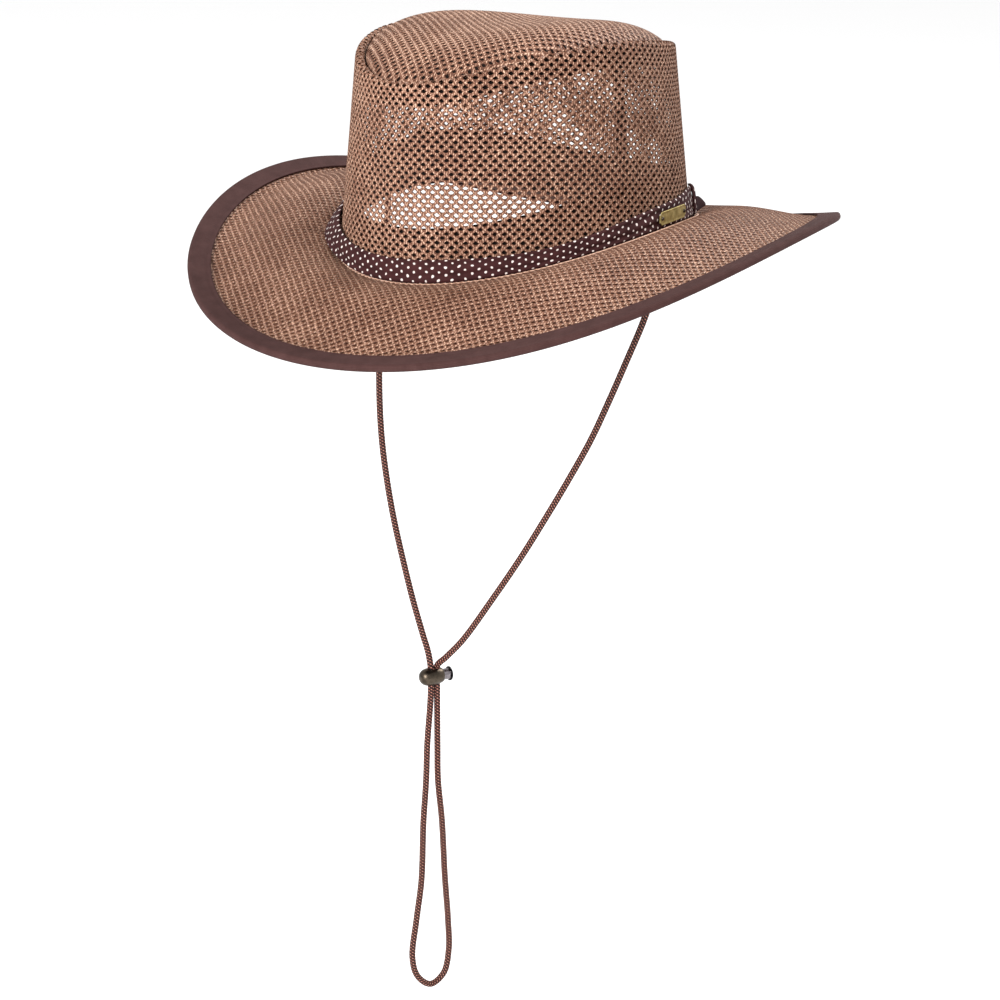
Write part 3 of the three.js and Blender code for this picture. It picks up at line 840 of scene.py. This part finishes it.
def back_tape_surface(across, up):
    angle = np.pi + (across - 0.5) * BACK_TAPE_WIDTH / HALF_WIDTH
    low = sweatband_top(angle) + GAP
    z = low + (tape_foot(angle) - GAP - low) * up
    hem = 0.12 * np.cos(np.clip((0.5 - np.abs(across - 0.5)) / 0.16, 0, 1) * np.pi)
    return place(angle, LINING_MIDDLE - lean(angle, z) - hem - 0.1, z)


back_tape = cut_strip("twill_back_tape", 10, 24)
lay_strip(back_tape, back_tape_surface, (BACK_TAPE_WIDTH, 54), 0.9)

# %% [markdown]
# ## The dotted band
# The band is a strip of dark printed cotton pressed into soft lengthwise folds. Its cross-section is drawn
# once as heights and depths, and the folds wander a little on their way round the crown.

# %% Lay the band
BAND_FOOT = 0.5
BAND_TALL = 12.4
BAND_SWELL = 5.5
BAND_NARROW = 0.28
BAND_TALLER = 0.34
BAND_FLATTER = 0.3
BAND_SECTION = np.array(
    [[0.8, 0.5], [0.15, 1.0], [0.2, 1.9], [1.6, 2.9], [3.6, 2.15], [4.6, 2.45], [6.2, 2.8], [8.0, 2.5],
     [9.4, 2.1], [10.4, 2.3], [11.4, 2.3], [12.3, 1.5], [12.0, 0.6]]
)
band_section, band_run = smooth_line(BAND_SECTION, 0.4)
band_share = np.linspace(0, 1, len(band_section))


def band_back(angle, z):
    return WALL_MIDDLE + CLOTH / 2 + GAP - lean(angle, z)


def near_angle(angle, at, spread):
    """How much of a local change there is at an angle, from 0 to 1, by degrees."""
    return np.exp(-(((angle - math.radians(at)) / math.radians(spread)) ** 2))


def band_tall(angle):
    """How tall the band is at an angle, against its section: narrower at the side, taller at its ends."""
    return 1 - BAND_NARROW * near_angle(angle, 55, 26) + BAND_TALLER * near_angle(angle, 124, 14)


def band_surface(across, up):
    angle = even_angles(across)
    height = np.interp(up, band_share, band_section[:, 0])
    depth = np.interp(up, band_share, band_section[:, 1])
    part = np.clip(height / BAND_TALL, 0, 1)
    swell = BAND_SWELL * near_angle(angle, -50, 20) * (1 - part**2)
    middle = np.sin(np.pi * part) * np.clip(depth - 1, 0, 1)
    wander = 0.45 * np.sin(2 * angle + 0.8) + 0.3 * np.sin(5 * angle) + 0.15 * np.sin(11 * angle + 2)
    ripple = 0.16 * np.sin(7 * angle + 0.7 * height) + 0.1 * np.sin(17 * angle - 0.9 * height)
    lifted = 0.45 * swell * (1 - part)
    z = around("foot", angle) + BAND_FOOT + height * band_tall(angle) + lifted + wander * middle
    pressed = 1 - BAND_FLATTER * near_angle(angle, 124, 14)
    return place(angle, band_back(angle, z) + depth * pressed + swell + ripple * middle, z)


band = cut_strip("dotted_hat_band", 384, len(band_section) - 1)
DOT_PITCH = 6.7
DOT_ROW = 2.25
band_size = (round(HEAD_ROUND / DOT_PITCH) * DOT_PITCH, band_run)
lay_strip(band, band_surface, band_size, 0.8, offset=-1, rounding=0)

# %% [markdown]
# ## The keeper and the tail
# Where the band's ends meet, a narrow wrap of the same cloth covers them, and the end that is left over
# stands out behind it as a short point.

# %% Lay the keeper and the tail
KEEPER_FROM, KEEPER_TO = math.radians(124.2), math.radians(131.2)
TAIL_FROM, TAIL_TO = math.radians(131.8), math.radians(139)
KEEPER_SECTION = np.array(
    [[0.6, 2.9], [1.6, 3.4], [4, 3.6], [7, 3.7], [10, 3.6], [11.4, 3.2], [12.4, 2.3], [12.9, 1.2]]
)
keeper_section, keeper_run = smooth_line(KEEPER_SECTION, 0.6)
keeper_share = np.linspace(0, 1, len(keeper_section))


def keeper_surface(across, up):
    angle = KEEPER_FROM + (KEEPER_TO - KEEPER_FROM) * across
    height = np.interp(up, keeper_share, keeper_section[:, 0])
    depth = np.interp(up, keeper_share, keeper_section[:, 1])
    rounded = 1.1 * np.abs(2 * across - 1) ** 4 + 0.1 * np.cos(across * 4 * np.pi + height * 0.6)
    over = 0.5 * np.clip(height - 11, 0, 1)
    z = around("foot", angle) + BAND_FOOT + height * band_tall(angle) + over
    return place(angle, band_back(angle, z) + depth - rounded, z)


keeper = cut_strip("dotted_band_keeper", 18, len(keeper_section) - 1)
lay_strip(keeper, keeper_surface, (10.2, keeper_run), 0.9, offset=-1, rounding=0.3)


def tail_surface(across, up):
    angle = TAIL_FROM + (TAIL_TO - TAIL_FROM) * across
    foot = around("foot", angle) + BAND_FOOT
    out = band_back(angle, foot) + 3.3 + 5.6 * across**1.3
    low = foot + 1.6 + 3 * across
    tall = 8.4 + (1.6 - 8.4) * across**1.8
    curl = 0.5 * np.sin(np.pi * up) * across
    return place(angle, out - 0.08 * tall * up + curl, low + tall * up)


tail = cut_strip("cotton_band_tail", 16, 12)
lay_strip(tail, tail_surface, (14, 9), 1.2, rounding=0.3)

# %% [markdown]
# ## The badge
# The badge is a thin stamped brass plate with scooped corners and a raised edge, bent to the band and
# pinned at both ends. Its face is left bare.

# %% Lay the badge and pin it
BADGE_FROM, BADGE_TO = math.radians(91), math.radians(107)
BADGE_LONG = 29.2
BADGE_TALL = 7
BADGE_SCOOP = 1.5
BADGE_FOOT = 2.6
BAND_DEEPEST = 2.9


def badge_surface(across, up):
    share = 0.5 - 0.5 * np.cos(np.pi * across)
    angle = BADGE_FROM + (BADGE_TO - BADGE_FROM) * share
    from_end = np.minimum(share, 1 - share) * BADGE_LONG
    half = BADGE_TALL / 2 - np.sqrt(np.maximum(BADGE_SCOOP**2 - from_end**2, 0))
    height = (2 * up - 1) * half
    from_side = half - np.abs(height)
    rim = 0.16 * np.clip(1.3 - np.minimum(from_side, from_end) / 0.7, 0, 1)
    foot = around("foot", angle) + BAND_FOOT
    out = band_back(angle, foot) + BAND_DEEPEST + GAP + 0.4
    return place(angle, out + rim, foot + BADGE_FOOT + BADGE_TALL / 2 + height)


badge = cut_strip("brass_badge", 72, 22)
lay_strip(badge, badge_surface, (BADGE_LONG, BADGE_TALL), 0.6, rounding=0.1)


def turned(name, profile, steps):
    """A round piece turned about the X axis, from a profile of mm along it and radius."""
    deselect()
    bpy.ops.mesh.primitive_plane_add(size=MM)
    piece = bpy.context.object
    piece.name = name
    in_edit_mode(piece, lambda: bpy.ops.mesh.merge(type="CENTER"))
    steps_along = [(0, 0), *profile]
    moves = [
        ((b[0] - a[0]) * MM, 0, (b[1] - a[1]) * MM) for a, b in zip(steps_along, steps_along[1:])
    ]

    def draw():
        bpy.ops.transform.translate(value=moves[0])
        for move in moves[1:]:
            bpy.ops.mesh.extrude_region_move(TRANSFORM_OT_translate={"value": move})

    def spin():
        bpy.ops.mesh.spin(steps=steps, angle=2 * math.pi, center=(0, 0, 0), axis=(1, 0, 0))

    in_edit_mode(piece, draw, select_all, spin, select_all, merge_close, face_outwards)
    return piece


def soften_edges(piece, width, degrees):
    """Rounds the piece's sharp edges, by a width in mm."""
    limit = {"limit_method": "ANGLE", "angle_limit": math.radians(degrees)}
    apply_modifier(piece, "BEVEL", width=width * MM, segments=2, **limit)


def set_in_place(piece, turn, at):
    piece.data.transform(Matrix.Translation(Vector(at) * MM) @ turn)
    piece.data.update()


def pin(name, degrees):
    angle = np.array([math.radians(degrees)])
    foot = around("foot", angle) + BAND_FOOT
    out = band_back(angle, foot) + BAND_DEEPEST + GAP + 0.8
    at = place(angle, out, foot + BADGE_FOOT + BADGE_TALL / 2)[0] / MM
    away = Vector([*[float(part[0]) for part in outward(angle)], 0])
    dome = [(-0.2, 0), (-0.2, 1.0), (0.25, 1.05), (0.55, 0.8), (0.7, 0.42), (0.66, 0.2), (0.5, 0)]
    piece = turned(name, dome, 20)
    set_in_place(piece, away.to_track_quat("X", "Z").to_matrix().to_4x4(), at)
    smooth(piece, 60)
    report(piece)
    return piece


front_pin = pin("bronze_pin_front", 92.3)
back_pin = pin("bronze_pin_back", 105.7)

# %% [markdown]
# ## The cord lock
# The lock is a bean-shaped metal barrel, open at one end, with a sprung plunger in it. Both have a slot
# across them for the two strands. Each is turned from a profile, as on a lathe, and its slot is cut with a
# round-ended cutter.

# %% Turn the lock
LOCK_AT = (-56.8, -0.1, -263.1)
LOCK_TURN = Matrix.Rotation(math.radians(66), 4, "Z")
SLOT_WIDTH = 4.2


def barrel_radius(along):
    side = 6.7 if along < -2.2 else 10
    return 5.15 * (1 - (abs(along + 2.2) / side) ** 2.5) ** 0.4


def cut_slot(piece, low, high):
    """Cuts a round-ended slot, from top to bottom, between two places on the piece's axis."""
    deselect()
    bpy.ops.mesh.primitive_circle_add(vertices=32, radius=SLOT_WIDTH / 2 * MM, fill_type="NGON")
    cutter = bpy.context.object
    table = points_of(cutter)
    half = SLOT_WIDTH / 2 * MM
    table[:, 0] += np.where(table[:, 0] > 0, high * MM - half, low * MM + half)
    table[:, 2] = -10 * MM
    move_points(cutter, table)
    rise = {"value": (0, 0, 20 * MM)}
    in_edit_mode(
        cutter,
        lambda: bpy.ops.mesh.extrude_region_move(TRANSFORM_OT_translate=rise),
        select_all,
        face_outwards,
    )
    apply_modifier(piece, "BOOLEAN", object=cutter, operation="DIFFERENCE", solver="EXACT")
    bpy.data.objects.remove(cutter)


stations = [-8.87, -8.75, -8.5, -8.0, -7.2, -6.1, -4.7, -3.0, -1.2, 0.6, 2.2, 3.4, 4.3]
shell = [(along, barrel_radius(along)) for along in stations]
mouth = [
    (4.8, barrel_radius(4.8) - 0.05),
    (5.0, barrel_radius(5.0) - 0.25),
    (5.0, 3.68),
    (4.8, 3.5),
    (-6.6, 3.5),
    (-6.6, 0),
]
barrel = turned("bronze_lock_barrel", [(-8.9, 0), *shell, *mouth], 56)
cut_slot(barrel, -4.0, 4.0)
soften_edges(barrel, 0.12, 50)
set_in_place(barrel, LOCK_TURN, LOCK_AT)
smooth(barrel, 40)
report(barrel)

stem = [(-5.0, 0), (-5.0, 3.0), (-4.8, 3.2), (8.8, 3.2), (9.0, 3.0), (9.2, 3.1)]
head = [(9.2, 3.8), (9.4, 4.1), (10.05, 4.1), (10.3, 3.9), (10.4, 3.5), (10.4, 3.0), (10.25, 2.8)]
button = turned("steel_lock_button", [*stem, *head, (10.25, 0)], 48)
cut_slot(button, -4.0, 5.5)
soften_edges(button, 0.1, 60)
set_in_place(button, LOCK_TURN, LOCK_AT)
smooth(button, 40)
report(button)

# %% [markdown]
# ## The edge stitching
# Where the brim joins the crown, a row of tan zigzag stitches shows below the band on the hat's left, and
# lies hidden under it elsewhere. It is one thread, made by the same tube helper as the cord.

# %% Sew the edge
ZIGZAG_STEP = 1.6
corner_count = 2 * round((HEAD_ROUND + 2 * np.pi * 4.6) / ZIGZAG_STEP / 2)
corners = np.arange(corner_count + 1)
corner_angle = even_angles(corners / corner_count % 1)
corner_out = np.where(corners % 2, 4.5, 6.5) - 3.2 * (1 - near_angle(corner_angle, 92, 55))
zigzag = brim_at(corner_angle, corner_out, 0.95 + 0 * corner_angle) / MM
thread_line = smooth_line(zigzag, 0.55)[0]
thread = tube("tan_edge_stitches", thread_line, 0.36, 5)
report(thread)

# %% [markdown]
# ## The yarn
# The knit is thick polyester yarn, twisted and heat set. Its colour carries painted shade in the hollows
# and painted highlights on the crests and along the strands' middles, broken by the twist. The crest
# attribute, written when the knit was laid, says how far up the yarn a point is.

# %% Make the yarn
yarn_gloss = {"Roughness": 0.5, "IOR": 1.5, "Specular IOR Level": 0.2}
yarn_bloom = {"Sheen Weight": 0.25, "Sheen Roughness": 0.4, "Sheen Tint": linear("d2b09a")}
yarn, tree, shader = new_material("twisted_polyester_yarn", {**yarn_gloss, **yarn_bloom})
here = node(tree, "TexCoord", output="Object")
crest = node(tree, "Attribute", {"attribute_name": "crest"}, output="Fac")
across, up = uv_of(tree, 0.4, 2.2)


def strand(run, aside):
    """A painted highlight along a strand's middle line, broken into short painted lights by its twist, by
    stitches along and aside.
    """
    off = node(tree, "Math", "SUBTRACT", [node(tree, "Math", "FRACT", [aside]), 0.5])
    edges = {"Value": node(tree, "Math", "ABSOLUTE", [off]), "From Min": 0.24, "From Max": 0.02}
    line = node(tree, "MapRange", {"interpolation_type": "SMOOTHSTEP"}, edges)
    # Two turns of twist to a stitch, which is one turn in about 2.6 mm
    turns = node(tree, "Math", "MULTIPLY_ADD", [run, 2.0, node(tree, "Math", "MULTIPLY", [off, 2.0])])
    twist = node(tree, "Math", "SINE", [node(tree, "Math", "MULTIPLY", [turns, 2 * math.pi])])
    light = node(tree, "Math", "MULTIPLY_ADD", [twist, 0.45, 0.55])
    return node(tree, "Math", "MULTIPLY", [line, light])


rising = node(tree, "Math", "ADD", [across, up])
falling = node(tree, "Math", "SUBTRACT", [across, up])
painted_strand_highlights = node(tree, "Math", "MAXIMUM", [strand(falling, rising), strand(rising, falling)])
mottle = node(tree, "TexNoise", {}, {"Vector": here, "Scale": 1 / (0.8 * MM), "Detail": 2.0})
cloudy = node(tree, "TexNoise", {}, {"Vector": here, "Scale": 1 / (25 * MM), "Detail": 1.0})
# Painted shade in the yarn's hollows and painted highlight on its crests, from the crest attribute, plus
# the strands' painted highlights, over random mottle and clouds
tone = node(tree, "Math", "MULTIPLY", [crest, 0.26])
for pattern, share in ((painted_strand_highlights, 0.35), (mottle, 0.6), (cloudy, 0.15)):
    tone = node(tree, "Math", "MULTIPLY_ADD", [pattern, share, tone])
yarn_stops = [(0.4, "220f0a"), (0.6, "66402f"), (0.79, "98705b"), (0.92, "dab59c")]
yarn_colour = node(tree, "ValToRGB", {"stops": yarn_stops}, [tone])
relief = node(tree, "Math", "MULTIPLY_ADD", [mottle, 0.5, painted_strand_highlights])
dress(tree, shader, yarn_colour, relief, 0.8, 0.3)

# %% [markdown]
# ## Plain woven cotton
# The binding, the lining and the band are woven cotton. Threads 0.6 mm apart, in and out in both
# directions, give a fine matt grain, and the colour is a little uneven, as dyed cloth is.

# %% Make the cottons
def woven(name, dark, light, spacing=0.6):
    """A plain weave on the piece's UV map, in mm. Returns the material, its tree, shader and colour."""
    gloss = {"Roughness": 0.85, "IOR": 1.5, "Specular IOR Level": 0.15}
    made, tree, shader = new_material(name, gloss)
    laid = node(tree, "UVMap", {"uv_map": "UVMap"})
    # A wave texture of scale 0.314 repeats once in 1 mm of the UV map
    values = {"Vector": laid, "Scale": 0.314 / spacing, "Distortion": 0.6}
    waves = [node(tree, "TexWave", {"bands_direction": way}, values, "Fac") for way in "XY"]
    weave = node(tree, "Math", "MULTIPLY", waves)
    here = node(tree, "TexCoord", output="Object")
    values = {"Vector": here, "Scale": 1 / (9 * MM), "Detail": 4.0, "Roughness": 0.65}
    patches = node(tree, "Math", "MULTIPLY", [node(tree, "TexNoise", {}, values), 0.8])
    tone = node(tree, "Math", "MULTIPLY_ADD", [weave, 0.3, patches])
    colour = node(tree, "ValToRGB", {"stops": [(0.25, dark), (0.75, light)]}, [tone])
    dress(tree, shader, colour, weave, 0.5, 0.15)
    return made, tree, shader, colour


binding_cotton = woven("brown_woven_cotton", "382220", "4b3230")[0]
# The twill's near-black colour is partly its dye and partly painted shade of the crown's inside; it also
# dresses the tip's backing
shade_darkened_lining_cotton = woven("dark_cotton_twill_with_painted_shade", "0d0604", "1b0e0a", 0.8)[0]
backing_cotton = woven("brown_backing_cotton", "2a150d", "44271b", 0.8)[0]
plain_band_cotton = woven("dark_band_cotton", "281417", "3d2125")[0]

# %% Print the dots
DOT_RADIUS = 0.63
DOT_BLUR = 0.15
band_cotton, tree, shader, ground = woven("dotted_band_cotton", "2b1314", "432222")
band_uv = uv_of(tree, 1.8, 4)


def from_dot(shift):
    """The mm to the middle of the nearest dot of one of the two staggered grids."""
    parts = []
    for run, pitch in zip(band_uv, (DOT_PITCH, 2 * DOT_ROW)):
        steps = node(tree, "Math", "ADD", [node(tree, "Math", "DIVIDE", [run, pitch]), shift])
        aside = node(tree, "Math", "SUBTRACT", [node(tree, "Math", "FRACT", [steps]), 0.5])
        aside = node(tree, "Math", "MULTIPLY", [aside, pitch])
        parts.append(node(tree, "Math", "POWER", [aside, 2.0]))
    return node(tree, "Math", "SQRT", [node(tree, "Math", "ADD", parts)])


nearest = node(tree, "Math", "MINIMUM", [from_dot(0.25), from_dot(0.75)])
edges = {"Value": nearest, "From Min": DOT_RADIUS + DOT_BLUR, "From Max": DOT_RADIUS - DOT_BLUR}
inside = node(tree, "MapRange", {"interpolation_type": "SMOOTHSTEP"}, edges)
printed = node(tree, "MixRGB", {}, {"Fac": inside, "Color1": ground, "Color2": linear("e6d9d3")})
tree.links.new(printed, shader.inputs["Base Color"])

# %% [markdown]
# ## The braid
# The cord is braided from copper strands one way and dark brown strands the other. Its colour paints light
# on the middles of the strands that run one way, dimmed where the other strands cross, and painted shade at
# their edges, so short slanted painted lights stand in rows along it.

# %% Make the braid
cord_gloss = {"Roughness": 0.6, "IOR": 1.5, "Specular IOR Level": 0.25}
braid, tree, shader = new_material("braided_polyester_cord", cord_gloss)
turn, run = uv_of(tree)
turns = node(tree, "Math", "MULTIPLY", [turn, float(STRANDS)])
steps = node(tree, "Math", "DIVIDE", [run, STRAND_RUN])
here = node(tree, "TexCoord", output="Object")
fibres = node(tree, "TexNoise", {}, {"Vector": here, "Scale": 1 / (0.5 * MM), "Detail": 2.0})


def ridge(way):
    """The painted highlight on the middles of the strands that go one way, from 0 at their edges, which are
    painted shade, to 1.
    """
    strand_count = node(tree, "Math", way, [turns, steps])
    aside = node(tree, "Math", "SUBTRACT", [node(tree, "Math", "FRACT", [strand_count]), 0.5])
    edges = {"Value": node(tree, "Math", "ABSOLUTE", [aside]), "From Min": 0.34, "From Max": 0.06}
    return node(tree, "MapRange", {}, edges)


# Painted highlights on one way's strand middles, dimmed where the other way's strands cross, with painted
# shade at the strand edges
painted_crossing_light = node(tree, "Math", "MULTIPLY_ADD", [ridge("SUBTRACT"), 0.45, 0.4])
tone = node(tree, "Math", "MULTIPLY", [ridge("ADD"), painted_crossing_light])
tone = node(tree, "Math", "MULTIPLY_ADD", [fibres, 0.25, tone])
braid_stops = [(0.16, "150503"), (0.44, "401812"), (0.72, "864b3c"), (0.96, "cc9b89")]
braid_colour = node(tree, "ValToRGB", {"stops": braid_stops}, [tone])
dress(tree, shader, braid_colour, fibres, 0.5, 0.15)

# %% [markdown]
# ## The thread and the metals
# The edge thread is glossy tan polyester. The badge is brass with patches of dull tarnish, the
# barrel is bronze-plated, and the plunger is polished steel with a blackened flange.

# %% Make the thread and the metals
thread_gloss = {"Roughness": 0.45, "IOR": 1.5}
thread_polyester, tree, shader = new_material("tan_polyester_thread", thread_gloss)
here = node(tree, "TexCoord", output="Object")
strands = node(tree, "TexNoise", {}, {"Vector": here, "Scale": 1 / (0.8 * MM), "Detail": 2.0})
thread_colour = node(tree, "ValToRGB", {"stops": [(0.3, "b5836a"), (0.7, "ecc5ac")]}, [strands])
tree.links.new(thread_colour, shader.inputs["Base Color"])


def metal(name, dark, light, roughness, patch):
    """A metal with patches of two colours, a mm size for them, and fine scratches in its gloss."""
    made, tree, shader = new_material(name, {"Metallic": 1.0, "Roughness": roughness})
    here = node(tree, "TexCoord", output="Object")
    values = {"Vector": here, "Scale": 1 / (patch * MM), "Detail": 5.0, "Roughness": 0.65}
    patches = node(tree, "TexNoise", {}, values)
    colour = node(tree, "ValToRGB", {"stops": [(0.35, dark), (0.65, light)]}, [patches])
    marks = node(tree, "TexNoise", {}, {"Vector": here, "Scale": 1 / (0.35 * MM), "Detail": 3.0})
    dress(tree, shader, colour, marks, 0.25, 0.05)
    gloss = {"Value": marks, "To Min": roughness * 0.8, "To Max": roughness * 1.3}
    tree.links.new(node(tree, "MapRange", {}, gloss), shader.inputs["Roughness"])
    return made


brass = metal("tarnished_brass", "958650", "c9ba80", 0.45, 3.0)
bronze = metal("bronze_plating", "39332c", "5a5045", 0.33, 4.0)
steel = metal("polished_steel", "696366", "8d868a", 0.22, 3.0)
black_steel = metal("blackened_steel", "141214", "262326", 0.3, 2.0)


# %% Give each piece its finish and its body
def finish(piece, material, slot, *nodes):
    piece.data.materials.clear()
    piece.data.materials.append(material)
    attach(piece, "button" if piece is button else "hat")
    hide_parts(*nodes)


finish(crown_wall, yarn, "mesh_cloth", "crown_wall")
finish(crown_tip, yarn, "mesh_cloth", "crown_tip")
finish(brim, yarn, "mesh_cloth", "brim")
finish(backing, backing_cotton, "lining_cloth")
finish(tip_backing, shade_darkened_lining_cotton, "lining_cloth")
finish(binding, binding_cotton, "binding_cloth", "brim_binding")
finish(sweatband, shade_darkened_lining_cotton, "lining_cloth", "sweatband")
finish(tip_tape, shade_darkened_lining_cotton, "lining_cloth", "tip_seam_tape")
finish(back_tape, shade_darkened_lining_cotton, "lining_cloth", "back_seam_tape")
finish(band, band_cotton, "band_cloth", "hat_band")
finish(keeper, band_cotton, "band_cloth", "band_keeper")
finish(tail, plain_band_cotton, "band_cloth", "band_tail")
finish(badge, brass, "brass", "badge")
finish(front_pin, bronze, "bronze", "badge_rivet_front")
finish(back_pin, bronze, "bronze", "badge_rivet_back")
finish(thread, thread_polyester, "mesh_cloth")
finish(chin_cord, braid, "braided_cord", "chin_cord")
finish(barrel, bronze, "bronze", "lock_barrel")
finish(button, steel, "steel", "lock_button")
button.data.materials.append(black_steel)
axis = LOCK_TURN.to_3x3() @ Vector((1, 0, 0))
for face in button.data.polygons:
    if (face.center - Vector(LOCK_AT) * MM) @ axis > 9.1 * MM:
        face.material_index = 1

# %% [markdown]
# ## The studio
# The photograph is a plain catalogue picture: white all round, with soft light from above and in front.
# A white floor lies a little below the cord's loop, and one large lamp and a smaller one shape the light.

# %% Set up the floor and the lamps
deselect()
bpy.ops.mesh.primitive_plane_add(size=24, location=(0, 0, cad_low.z - 0.02))
floor = bpy.context.object
floor.name = "floor"
paper_values = {"Base Color": linear("f6f6f6"), "Roughness": 0.9}
floor.data.materials.append(new_material("white_paper", paper_values)[0])

world = bpy.data.worlds.new("white_studio")
bpy.context.scene.world = world
world.use_nodes = True
world.node_tree.nodes["Background"].inputs["Color"].default_value = linear("ffffff")
world.node_tree.nodes["Background"].inputs["Strength"].default_value = 1.0


def lamp(name, place, target, size, power):
    deselect()
    bpy.ops.object.light_add(type="AREA", location=place)
    made = bpy.context.object
    made.name = name
    made.data.size = size
    made.data.energy = power
    made.rotation_euler = aim(place, target)


lamp("key_lamp", (0.3, -2.75, 0.9), (0, 0, 0), 1.2, 90)
lamp("top_lamp", (0.5, 1.7, 1.7), (0, 0, 0.05), 1.0, 50)
bpy.context.scene.view_settings.view_transform = "Standard"
